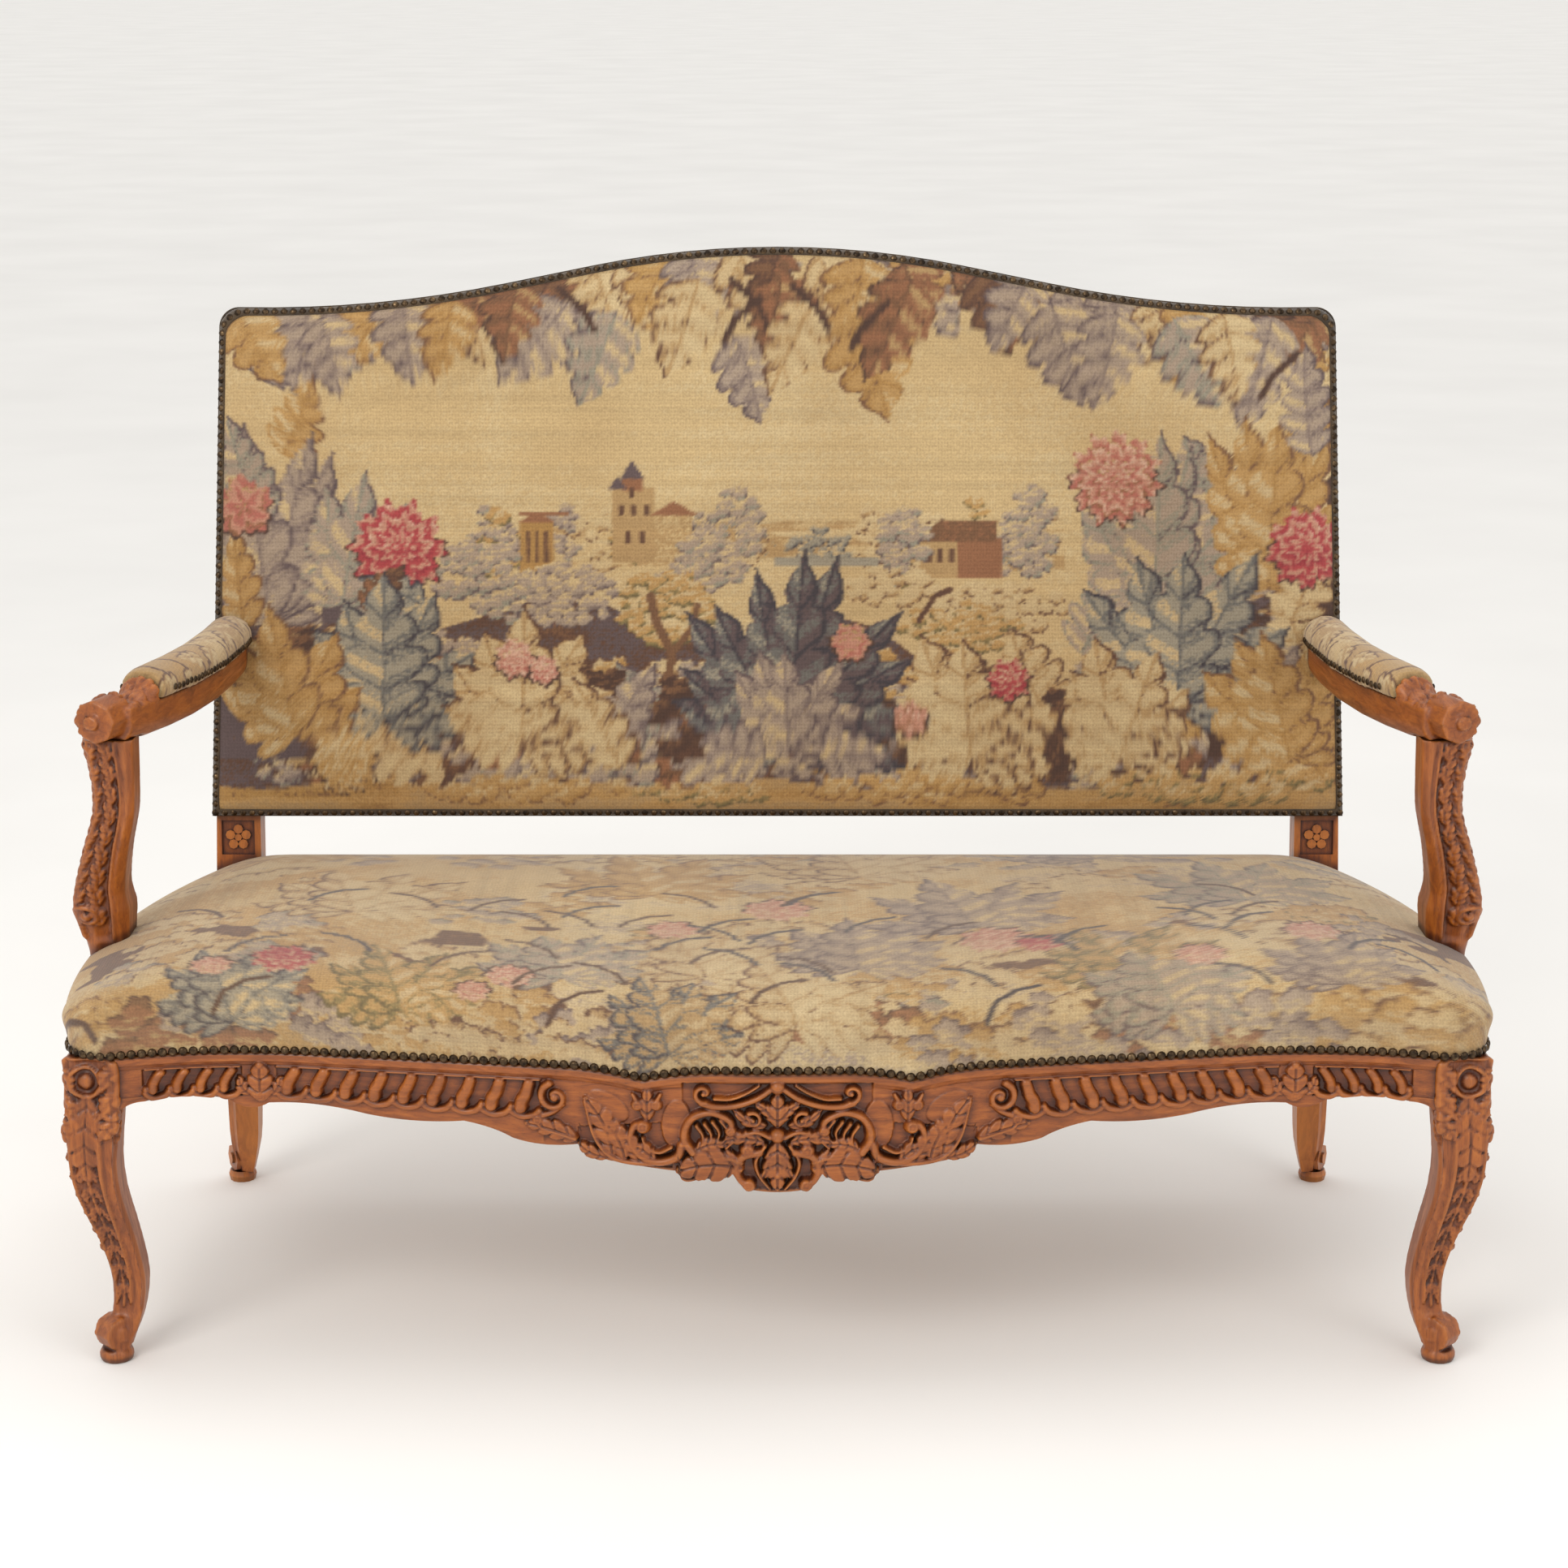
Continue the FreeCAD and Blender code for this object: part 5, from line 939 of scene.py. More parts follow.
def crown_grid(cols, rows):
    """Grid of a crown and how far out each point lies, 0 in the middle and 1 at the edge."""
    s, t = np.meshgrid(np.linspace(-1, 1, cols), np.linspace(-1, 1, rows))
    return s, t, np.maximum(np.abs(s), np.abs(t))


def ring_plan(s, t, r, insets, point, inner, middle):
    """Plan of the crown: rings that follow the outline, and within the last ring a shrinking copy."""
    out = np.maximum(r, 1e-6)
    level = np.abs(t) >= np.abs(s)
    x, y = np.zeros_like(r), np.zeros_like(r)
    for mask, edge, f in ((level & (t < 0), 0, s / out), (~level & (s > 0), 1, t / out),
                          (level & (t >= 0), 2, s / out), (~level & (s < 0), 3, t / out)):
        x[mask], y[mask] = point(*[inset[mask] for inset in insets], edge, f[mask])
    share = np.clip(r / inner, 0, 1)
    return x * share, np.where(r < inner, middle + (y - middle) * share, y), share


def seat_outline_point(front, side, back, edge, f):
    """Plan point on one ring. edge 0 front, 1 right, 2 back, 3 left; f from -1 to 1 along it."""
    rx = CORNER_RADIUS + np.clip(side, -40, 20)
    ry = CORNER_RADIUS + np.clip(front, -40, 20)
    cx = side_x(LEG_REAR_Y, side) - rx
    cy = front_y(cx)[0] - front + ry
    rear_y = SEAT_BACK_Y + back
    if edge in (0, 2):
        far = cx + CORNER_SHARE * rx if edge == 0 else side_x(rear_y - 14.0, side) - 12.0
        x = f * far
        if edge == 2:
            return x, rear_y + 0.0 * x
        past = np.clip((np.abs(x) - cx) / rx, 0, 0.999)
        round_y = cy - ry * np.sqrt(1 - past ** 2)
        return x, np.where(np.abs(x) > cx, round_y, front_y(x)[0] - front)
    low = cy - ry * math.sqrt(1 - CORNER_SHARE ** 2)
    high = rear_y - 12.0
    y = low + (high - low) * (f + 1) / 2
    past = np.clip((cy - y) / ry, 0, 0.999)
    rear_round = np.clip((y - high + 14.0) / 14.0, 0, 1)
    x = np.where(y < cy, cx + rx * np.sqrt(1 - past ** 2), side_x(y, side)) - 10.0 * rear_round ** 2
    return (x if edge == 1 else -x), y


def build_seat():
    inner, wall = 0.30, 0.13
    s, t, r = crown_grid(165, 91)
    q = np.clip((1 - r) / (1 - inner), 0, 1)
    rise = np.clip(q / wall, 0, 1)
    lean = -1.4 + 2.9 * rise ** 1.4
    upright = np.stack([SEAT_EDGE_Z + 22.0 * rise, lean, lean, np.full_like(lean, -4.0)], -1)
    crown = interp_layers(SEAT_LAYERS, np.clip((q - wall) / (1 - wall), 0, 1))
    z, *insets = np.moveaxis(np.where((q < wall)[..., None], upright, crown), -1, 0)
    x, y, share = ring_plan(s, t, r, insets, seat_outline_point, inner, SEAT_MIDDLE_Y)
    z = z + 3.0 * (1 - share ** 2)
    z = z - show_dip(x) * np.clip((404.0 - z) / 23.0, 0, 1) * (y < -200)
    top = np.stack([x, y, z], -1).reshape(-1, 3)
    # underside: one ring in from the edge, lifted over the webbing
    under = np.stack([x * 0.966, y * 0.94, np.where(r > 0.97, SEAT_EDGE_Z, 403.6)], -1).reshape(-1, 3)
    obj = closed_cushion("seat_upholstery", top, under, r > 0.9999)
    pinned = coords(obj)[:, 2] < 402.0
    pinned[len(top):] = True
    swell(obj, pinned, 9.0)
    subdivide(obj, 2)
    p = coords(obj)
    nailed_y = front_y(np.clip(p[:, 0], -800, 800))[0]
    v = np.maximum(p[:, 1] - nailed_y, 0) + (p[:, 2] - SEAT_EDGE_Z)
    lay_yarn(obj, weave_seat().sample(p[:, 0], v), np.stack([p[:, 0], v], 1))
    return obj


def back_ring_point(inset, edge, f):
    """Point (x, s) on the back's outline moved inwards. edge 0 bottom, 1 right, 2 top, 3 left."""
    low = BACK_LOW + inset

    def side(sv):
        share = (sv - BACK_LOW) / (CREST_HOLLOW - BACK_LOW)
        return BACK_SIDE_LOW_X + (BACK_SIDE_TOP_X - BACK_SIDE_LOW_X) * share - inset

    top_x = side(CREST_HOLLOW) - CREST_ROUND
    corner_s = crest_s(top_x) - inset - CREST_ROUND
    if edge == 0:
        return f * side(low), low + 0.0 * f
    if edge == 2:
        x = f * top_x
        k = np.clip((np.abs(f) - 0.975) / 0.025, 0, 1)
        return x, crest_s(x) - inset - CREST_ROUND * k ** 2
    sv = low + (corner_s - low) * (f + 1) / 2
    k = np.clip((f - 0.955) / 0.045, 0, 1)
    x = side(sv) - CREST_ROUND * k ** 2
    return (x if edge == 1 else -x), sv


def build_back():
    inner = 0.62
    s, t, r = crown_grid(145, 77)
    q = np.clip((1 - r) / (1 - inner), 0, 1)
    depth, inset = np.moveaxis(interp_layers(BACK_LAYERS, q), -1, 0)
    x, sv, _ = ring_plan(s, t, r, [np.maximum(inset, 0)], back_ring_point, inner, BACK_MIDDLE_S)
    top = np.stack(rake_point(x, FRAME_FACE_Y + depth, sv), -1).reshape(-1, 3)
    rear_s = BACK_MIDDLE_S + (sv - BACK_MIDDLE_S) * 0.975
    rear = np.stack(rake_point(x * 0.985, FRAME_FACE_Y + 6.0, rear_s), -1).reshape(-1, 3)
    obj = closed_cushion("back_upholstery", top, rear, r > 0.9999)
    pinned = np.ones(len(obj.data.vertices), bool)
    pinned[:len(top)] = q.reshape(-1) < 0.18
    swell(obj, pinned, 7.0)
    subdivide(obj, 2)
    p = coords(obj)
    up = (RAKE_PIVOT_Z + (p[:, 1] - FRAME_FACE_Y) * math.sin(RAKE)
          + (p[:, 2] - RAKE_PIVOT_Z) * math.cos(RAKE))
    yarn = weave_back().sample(BACK_MIDDLE + p[:, 0] / 1.0235, 1000.0 - (up - BACK_LOW) / 1.04)
    lay_yarn(obj, yarn, np.stack([p[:, 0], up], 1))
    return obj


seat = build_seat()
finish(seat, tapestry)
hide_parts("seat_cover", "seat_stuffing")
back = build_back()
finish(back, tapestry)
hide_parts("back_cover", "back_stuffing")


# Round head nails

def nail_mesh(name, places, radius):
    """Domed heads at (point, outward direction)."""
    sides, rings = 10, 3
    verts, faces = [], []
    for point, outward in places:
        n = Vector(outward).normalized()
        a = n.orthogonal().normalized()
        b = n.cross(a)
        base = len(verts)
        for ang in (j / rings * math.pi / 2 for j in range(rings)):
            centre = Vector(point) + n * (radius * 0.62 * math.sin(ang) + 0.2)
            for th in (2 * math.pi * i / sides for i in range(sides)):
                verts.append(centre + (a * math.cos(th) + b * math.sin(th)) * radius * math.cos(ang))
        verts.append(Vector(point) + n * (radius * 0.62 + 0.2))
        faces += grid_faces(rings, sides, base, wrap=True)
        last = len(verts) - 1 - sides
        faces += [(last + i, last + (i + 1) % sides, len(verts) - 1) for i in range(sides)]
    finish(make_object(name, [tuple(v) for v in verts], faces), nail_brass)


def walk(points, pitch):
    """Even steps along a polyline; gives points and directions."""
    pts = np.array(points, float)
    seg = np.linalg.norm(np.diff(pts, axis=0), axis=1)
    run = np.concatenate([[0], np.cumsum(seg)])
    count = int(run[-1] // pitch)
    pitch = run[-1] / count
    found = []
    for k in range(count + 1):
        i = min(np.searchsorted(run, k * pitch, side="right") - 1, len(seg) - 1)
        leg = pts[i + 1] - pts[i]
        length = max(seg[i], 1e-9)
        found.append((pts[i] + leg * ((k * pitch - run[i]) / length), leg / length))
    return found


def seat_nails():
    height = SHOW_EDGE + 5.0
    sides = [(float(side_x(y)), y, height) for y in np.linspace(SEAT_BACK_Y - 30, LEG_REAR_Y + 4, 40)]
    centre_x = SIDE_FRONT_X - CORNER_RADIUS - 1.0
    centre_y = float(front_y(centre_x)[0]) + CORNER_RADIUS
    radius = CORNER_RADIUS + 1
    corner = [(centre_x + radius * math.cos(a), centre_y - radius * math.sin(a), height)
              for a in np.linspace(0.1, 1.5, 12)]
    front = [(x, float(front_y(x)[0]) + 0.5, height - float(show_dip(x)))
             for x in np.linspace(-LEG_INNER_X, LEG_INNER_X, 400)]
    half = sides + corner
    places = []
    for point, way in walk([(-x, y, z) for x, y, z in half] + front + half[::-1], 11.4):
        n = np.array([way[1], -way[0], 0.0])
        places.append((point + n / max(np.linalg.norm(n), 1e-6) * 0.2, n))
    nail_mesh("seat_nails", places, 5.2)


def back_ring(inset, counts, ends):
    """Points (x, s) round the back's outline moved inwards, with or without each edge's last point."""
    ring = []
    for edge, count in enumerate(counts):
        way = 1 if edge < 2 else -1
        f = np.linspace(-way, way, count)
        x, sv = back_ring_point(np.full(count, inset), edge, f)
        ring += list(zip(x, sv))[:count if ends else count - 1]
    return ring


def back_nails():
    ring = [(x, 0.0, sv) for x, sv in back_ring(4.5, (100, 60, 160, 60), True)]
    places = []
    for point, way in walk(ring + ring[:1], 11.6):
        ox, oy, oz = way[2] * 0.3, -0.95, -way[0] * 0.3
        c, q = math.cos(RAKE), math.sin(RAKE)
        places.append((rake_point(point[0], FRAME_FACE_Y - 21.0, point[2]),
                       (ox, oy * c + oz * q, oz * c - oy * q)))
    nail_mesh("back_nails", places, 4.6)


seat_nails()
back_nails()


# Carving: heights drawn from strokes

class Relief(Field):
    """Height of carving over a field (mm); positions u to the right, v upwards."""

    def __init__(self, u0, u1, v0, v1, step, ground):
        super().__init__(u0, u1, v0, v1, step, 2)
        self.h = np.full((self.rows, self.cols), float(ground))
        self.ground = ground

    def lift(self, view, mask, height):
        self.h[view] = np.maximum(self.h[view], np.where(mask, self.ground + height, -99))

    def boss(self, u, v, radius, height, dimple=0.0):
        view, du, dv = self.window(u, v, radius)
        q = np.hypot(du, dv) / radius
        self.lift(view, q < 1, height * np.sqrt(np.clip(1 - q ** 2, 0, 1)) - dimple * (q < 0.4))

    def ridge(self, points, width, height, end=0.45):
        """Round-topped band along a smooth curve, narrowing to its end."""
        pts = np.array(points, float)
        padded = np.concatenate([[2 * pts[0] - pts[1]], pts, [2 * pts[-1] - pts[-2]]])
        for k in range(len(pts) - 1):
            a, b, c, d = padded[k:k + 4]
            n = max(int(np.linalg.norm(c - b) / (self.step * 0.9)), 2)
            for t in (i / n for i in range(n)):
                m = 0.5 * (2 * b + (c - a) * t + (2 * a - 5 * b + 4 * c - d) * t * t
                           + (3 * b - a - 3 * c + d) * t ** 3)
                f = (k + t) / (len(pts) - 1)
                r = width * 0.58 * (1 - (1 - end) * f)
                view, du, dv = self.window(m[0], m[1], r)
                q = np.hypot(du, dv) / r
                fall = 0.45 + 0.55 * (1 - 0.4 * f)
                self.lift(view, q < 1, height * fall * np.sqrt(np.clip(1 - q ** 2, 0, 1)))

    def scroll(self, u, v, radius, start, turn, width, height, tail=0.25):
        """Spiral band that winds inwards round an eye, from an angle through a turn (degrees)."""
        steps = max(int(abs(turn) / 30), 4)
        pts = []
        for k in range(steps + 1):
            f = k / steps
            a = math.radians(start + turn * f)
            q = radius * (1 - (1 - tail) * f)
            pts.append((u + q * math.cos(a), v + q * math.sin(a)))
        self.ridge(pts, width, height, 0.6)
        self.boss(u, v, radius * 0.36, height * 1.05)

    def leaf(self, u0, v0, u1, v1, width, height, bend, lobes):
        """Acanthus leaf with a grooved rib, hollowed veins and lobed edge."""
        length = math.hypot(u1 - u0, v1 - v0)
        ax, ay = (u1 - u0) / length, (v1 - v0) / length
        reach = length * 0.6 + width * 0.6 + abs(bend)
        view, du, dv = self.window((u0 + u1) / 2, (v0 + v1) / 2, reach)
        du, dv = du + (u1 - u0) / 2, dv + (v1 - v0) / 2
        t = (du * ax + dv * ay) / length
        tc = np.clip(t, 0, 1)
        swell_out = np.sin(math.pi * tc)
        side = np.abs(-du * ay + dv * ax - bend * swell_out)
        saw = (tc * lobes - side / width * 0.9 + 0.3) % 1.0
        lobe = 1 - 0.30 * np.abs(2 * saw - 1) ** 3
        q = side / np.maximum(np.sin(math.pi * tc ** 0.8) ** 0.6 * lobe * width * 0.6, 1e-3)
        top = height * (0.35 + 0.65 * np.sqrt(np.clip(1 - q ** 2, 0, 1))) * (0.75 + 0.25 * swell_out)
        vein = 0.22 * height * np.exp(-((saw - 0.97) / 0.13) ** 2)
        rib = 0.26 * height * np.exp(-(side / 1.1) ** 2)
        self.lift(view, (t > 0) & (t < 1) & (q < 1), top - vein - rib)

    def sample(self, u, v):
        return self.blend(self.h, u, v)


# Lower edge of the rail from the middle outwards: ends of the sweeps, with each one's middle between them
RAIL_EDGE = [
    (0, 239), (13, 239.5), (26, 241), (38, 246), (50, 264), (62, 254), (84, 255), (104, 250), (110, 262),
    (150, 266), (192, 272), (216, 278), (222, 289), (262, 286), (298, 292), (322, 302), (353, 309),
    (409, 306), (465, 311), (520, 319), (576, 319), (598, 313), (620, 323), (667, 330), (712, 325),
    (730, 322), (742, 312),
]


def rail_low(x):
    """Height of the rail's lower edge."""
    points = np.array(RAIL_EDGE, float)
    edge = []
    for a, b, c in zip(points[:-2:2], points[1::2], points[2::2]):
        ctrl = 2 * b - (a + c) / 2
        edge += [a * (1 - t) ** 2 + 2 * ctrl * t * (1 - t) + c * t * t for t in np.linspace(0, 1, 12)[:-1]]
    xs, zs = np.array(edge + [points[-1]]).T
    return np.interp(np.abs(x), np.maximum.accumulate(xs + np.arange(len(xs)) * 1e-6), zs)


def ribbon_low(x):
    """Height of the rim under the ribbons of flutes."""
    return np.interp(x, [262.0, 560.0, 742.0], [321.0, 329.0, 332.0])


def rail_carving():
    """One half of the rail's carving; u is the distance from the middle, v the height."""
    c = Relief(0, 744, 232, 384, 0.8, -5.5)
    u, v = c.grid()
    show = SHOW_EDGE - show_dip(u)
    down = show - v
    # cove and bead under the nails
    bead = 1.2 * np.sqrt(np.clip(1 - ((down - 4.5) / 5.0) ** 2, 0, 1)) - 1.5
    shelf = np.where(down < 10, bead, np.where(down < 15, -2.0 - (down - 10) * 0.5, -99))
    c.h = np.maximum(c.h, shelf)
    # plain apron under the ribbon, rounded to its lower edge
    low = rail_low(u)
    rim = ribbon_low(u)
    plain = (v < rim) & (u > 262)
    c.h = np.where(plain, -3.4 - 2.2 * np.exp(-((v - low) / 3.5) ** 2), c.h)
    cartouche = (u < 106) & (v < 368) & (v > low + 3)
    spray = (u > 118) & (u < 224) & (v < 320 - 0.1 * (u - 118)) & (v > low + 3)
    c.h = np.where(cartouche | spray, -8.0, c.h)
    # smooth panels between the groups
    for pu, pv, wu, wv, tilt in ((190.0, 336.0, 24.0, 17.0, -0.35), (113.0, 318.0, 17.0, 29.0, 0.1)):
        q = ((u - pu) / wu) ** 2 + ((v - pv + tilt * (u - pu)) / wv) ** 2
        c.h = np.where(q < 1, np.maximum(c.h, -5.5 + 3.4 * np.clip(1 - q, 0, 1) ** 0.35), c.h)
    # sunk fields of the ribbons
    for start, stop in ((266.0, 566.0), (605.0, 713.0)):
        c.h = np.where((u > start) & (u < stop) & (v > rim - 1) & (v < 363), -8.2, c.h)
    # ribbons of slanting flutes over a scalloped rim
    for start, pitch, count in ((266.0, 33.3, 9), (607.0, 26.0, 4)):
        for k in range(count):
            m = start + pitch * (k + 0.5)
            floor = float(ribbon_low(m))
            c.ridge([(m + 5, floor + 8), (m + 4, floor + 15), (m - 1, floor + 24), (m - 5, 359)],
                    pitch * 0.40, 9.5, 0.85)
            lobe = ((-0.5, 5), (-0.28, -0.5), (0.1, -2.5), (0.4, 1), (0.5, 5))
            c.ridge([(m + pitch * share, floor + up) for share, up in lobe], 7.5, 7.0, 1.0)
            c.boss(m + pitch / 2 - 1, floor + 8, 4.5, 6.0)
        c.ridge([(start, 363), (start + pitch * count, 363)], 3.0, 4.0, 1.0)
    # scroll that ends the long ribbon
    c.scroll(249, 344, 17, 70, -400, 8.5, 8.5)
    c.ridge([(262, 322), (250, 327), (238, 336)], 8.0, 7.0)
    # leaf over the joint of the two ribbons
    c.leaf(584, 322, 584, 370, 26, 9.0, 0, 3)
    c.leaf(572, 330, 560, 352, 14, 7.0, 3, 3)
    c.leaf(596, 330, 608, 352, 14, 7.0, -3, 3)
    c.boss(584, 329, 8, 9.0, 1.0)
    c.boss(584, 365, 6, 8.5)
    # curled leaf under the scroll
    c.leaf(224, 296, 284, 312, 20, 8.0, 3, 4)
    c.boss(268, 317, 7, 9.0, 1.5)
    c.ridge([(226, 297), (245, 302), (262, 307), (272, 316)], 5.5, 9.5, 0.7)
    # acanthus spray
    c.ridge([(118, 277), (150, 272), (184, 277), (204, 300), (215, 342)], 8.5, 9.5, 0.45)
    c.leaf(190, 276, 224, 292, 16, 7.5, -3, 3)
    c.leaf(184, 278, 216, 347, 27, 8.5, 8, 4)
    c.leaf(170, 275, 200, 324, 23, 9.0, 7, 3)
    c.leaf(154, 274, 184, 308, 20, 9.0, 6, 3)
    c.leaf(136, 273, 166, 292, 17, 8.5, 5, 3)
    # C scroll with its twin knobs
    c.ridge([(106, 296), (112, 281), (132, 274), (152, 280), (164, 297), (160, 314), (148, 320)],
            10.5, 11.0, 0.7)
    c.ridge([(118, 292), (132, 285), (146, 290), (151, 302)], 5.0, 8.5, 0.7)
    c.boss(150, 315, 9, 12.0, 1.5)
    for ku, kv in ((156.0, 340.0), (135.0, 341.0)):
        c.boss(ku, kv, 7.5, 9.5, 1.2)
        c.ridge([(ku, kv + 3), (ku + (ku - 145) * 0.5, kv + 13)], 6.5, 7.5, 0.6)
    c.leaf(145, 322, 145, 362, 15, 8.0, 0, 3)
    # upper cross scrolls of the cartouche
    c.scroll(82, 356, 11, -100, 330, 7.0, 9.5)
    c.ridge([(84, 345), (70, 341), (48, 342), (24, 350), (6, 362)], 8.5, 9.5, 0.8)
    c.ridge([(70, 350), (52, 350), (34, 357), (20, 366)], 4.5, 7.5, 0.7)
    c.boss(0, 364, 9, 11.0)
    c.leaf(0, 318, 0, 358, 20, 11.0, 0, 3)
    c.leaf(4, 324, 26, 346, 13, 10.0, 4, 3)
    c.leaf(12, 318, 50, 338, 13, 8.5, -4, 3)
    c.scroll(27, 326, 9.5, 60, 380, 6.0, 10.5)
    # great C scrolls with ribs inside
    c.ridge([(94, 287), (103, 300), (102, 316), (92, 329), (73, 334), (54, 325), (50, 312)],
            10.0, 11.5, 0.75)
    c.boss(52, 313, 7.5, 12.0, 1.5)
    for k in range(4):
        a = (90 - 9 * k, 318 + 2.5 * k)
        c.ridge([a, (a[0] - 7, a[1] - 12), (a[0] - 5, a[1] - 24)], 5.2, 8.5, 0.5)
    c.leaf(92, 288, 56, 296, 16, 9.0, -5, 4)
    c.leaf(14, 300, 62, 300, 16, 9.5, 5, 4)
    c.ridge([(8, 306), (24, 312), (42, 306), (58, 292)], 6.5, 10.5, 0.5)
    c.boss(0, 308, 9.5, 14.0)
    c.boss(33, 290, 9.5, 12.0, 1.5)
    # pendant palmette between the sweeping lower leaves
    c.leaf(0, 300, 0, 241, 25, 11.0, 0, 4)
    c.leaf(8, 292, 18, 254, 12, 9.5, -3, 3)
    c.ridge([(14, 296), (24, 278), (20, 260), (8, 244)], 5.5, 10.5, 0.6)
    c.boss(0, 262, 6.0, 12.5)
    c.ridge([(20, 288), (38, 283), (46, 270), (42, 256), (32, 247)], 10.0, 11.0, 0.8)
    c.boss(32, 249, 8.5, 11.5, 1.5)
    c.leaf(38, 270, 114, 263, 38, 10.5, 7, 4)
    c.ridge([(40, 276), (66, 283), (92, 278), (112, 266)], 6.0, 10.5, 0.5)
    c.ridge([(110, 276), (150, 270), (190, 275)], 5.0, 7.0, 1.0)
    return c


def carved_rail():
    """Front rail with its relief, from the nailed rebate down to the scrolled edge."""
    cols, rows = 1186, 100
    x = np.linspace(-LEG_INNER_X, LEG_INNER_X, cols)
    low = rail_low(x)
    top = SHOW_EDGE - show_dip(x)
    y, lean = front_y(x)
    nx, ny = np.sin(lean), -np.cos(lean)
    t = np.linspace(0, 1, rows)[:, None]
    z = low + (top - low) * t
    wide = np.broadcast_to(x, z.shape)
    h = np.where(t > 0.985, -1.5, rail_carving().sample(np.abs(wide), z))
    front = np.stack([wide + nx * h, y + ny * h, z], -1)
    # rear and lower edges: depth behind the front and height
    behind = [np.stack([x - nx * depth, y - ny * depth, height], -1)
              for depth, height in ((34.0, top - 1.0), (34.0, low + 3.0), (8.0, low + 0.5))]
    loop = np.concatenate([front, behind])
    n = len(loop)
    faces = grid_faces(n, cols)
    last = (n - 1) * cols
    faces += [(last + i, last + i + 1, i + 1, i) for i in range(cols - 1)]
    faces.append(tuple(j * cols for j in range(n)))
    faces.append(tuple(j * cols + cols - 1 for j in reversed(range(n))))
    obj = make_object("carved_front_rail", loop.reshape(-1, 3), faces)
    finish(obj, wood_x)
    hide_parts("front_rail")


def dense_copy(source, name, voxel):
    """The node's own shape as an even fine mesh."""
    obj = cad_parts[source].copy()
    obj.data = obj.data.copy()
    obj.name = name
    bpy.context.scene.collection.objects.link(obj)
    obj.data.transform(obj.matrix_world)
    obj.matrix_world.identity()
    m = obj.modifiers.new("Remesh", "REMESH")
    m.mode = "VOXEL"
    m.voxel_size = voxel * MM
    m.use_smooth_shade = True
    apply_modifiers(obj)
    return obj


def relax(obj, rounds):
    m = obj.modifiers.new("Relax", "SMOOTH")
    m.factor = 0.5
    m.iterations = rounds
    apply_modifiers(obj)


def carve_round(obj, carving, girth, keep):
    """Carves round an upright piece: u runs round it from the front towards the outside, v is the height."""
    p = coords(obj)
    z = p[:, 2]
    bins = 40
    lo, hi = z.min(), z.max()
    row = np.clip(((z - lo) / (hi - lo) * bins).astype(int), 0, bins - 1)
    filled = np.unique(row)
    mids = lo + (filled + 0.5) * (hi - lo) / bins
    slices = [p[row == b] for b in filled]
    ax, ay = [p[:, i] - np.interp(z, mids, [(q[:, i].min() + q[:, i].max()) / 2 for q in slices])
              for i in (0, 1)]
    sign = 1.0 if p[:, 0].mean() > 0 else -1.0
    around = np.arctan2(ax * sign, -ay) * girth
    h = carving.sample(around, z) * CARVING_DEPTH * keep(around, z)
    put_coords(obj, p + vertex_rows(obj, "normal") * (1.0, 1.0, 0.4) * h[:, None])


def smooth_step(v, a, b):
    t = np.clip((v - a) / (b - a), 0, 1)
    return t * t * (3 - 2 * t)


def between(v, a, b, c, d):
    """1 from b to c, falling smoothly to 0 at a and at d."""
    return smooth_step(v, a, b) * (1 - smooth_step(v, c, d))


def leg_carving():
    c = Relief(-110, 110, 0, 400, 0.9, -2.2)
    c.boss(4, 352, 10, 5.5)
    c.scroll(4, 352, 19, 200, 330, 6.5, 5.0, 0.85)
    for s in (-1, 1):
        c.ridge([(4 + s * du, v) for du, v in ((24, 384), (30, 352), (22, 322), (10, 296), (16, 270))],
                7.5, 5.2, 0.6)
        c.scroll(4 + s * 14, 306, 10, 90 - s * 60, s * 330, 5.0, 4.6)
        c.ridge([(4 + s * 15, 286), (4 + s * 17, 220), (4 + s * 14, 140), (4 + s * 12, 70)], 4.8, 3.6, 0.8)
    c.leaf(4, 336, 4, 226, 32, 5.6, 0, 5)
    for k in range(3):
        c.leaf(-30, 372 - 30 * k, -14, 344 - 30 * k, 17, 5.6, 3, 3)
        c.leaf(-46, 360 - 30 * k, -34, 334 - 30 * k, 15, 5.0, -3, 3)
        c.leaf(34, 366 - 30 * k, 20, 338 - 30 * k, 17, 5.4, -3, 3)
    c.ridge([(4, 240), (4, 160), (4, 66)], 5.5, 3.6, 0.8)
    for k in range(11):
        z = 382 - 24 * k
        w = 15 - 0.45 * k
        c.leaf(30, z, 50, z - 20, w, 5.0 - 0.12 * k, 3, 3)
        c.leaf(58, z - 10, 44, z - 32, w, 4.2, -3, 3)
    for k in range(7):
        z = 250 - 26 * k
        c.leaf(7, z, 15, z - 22, 9, 3.2, 2, 3)
        c.leaf(1, z, -7, z - 22, 9, 3.2, -2, 3)
    for k in range(3):
        c.leaf(-22, 378 - 26 * k, -34, 352 - 26 * k, 13, 4.4, 2, 3)
    return c


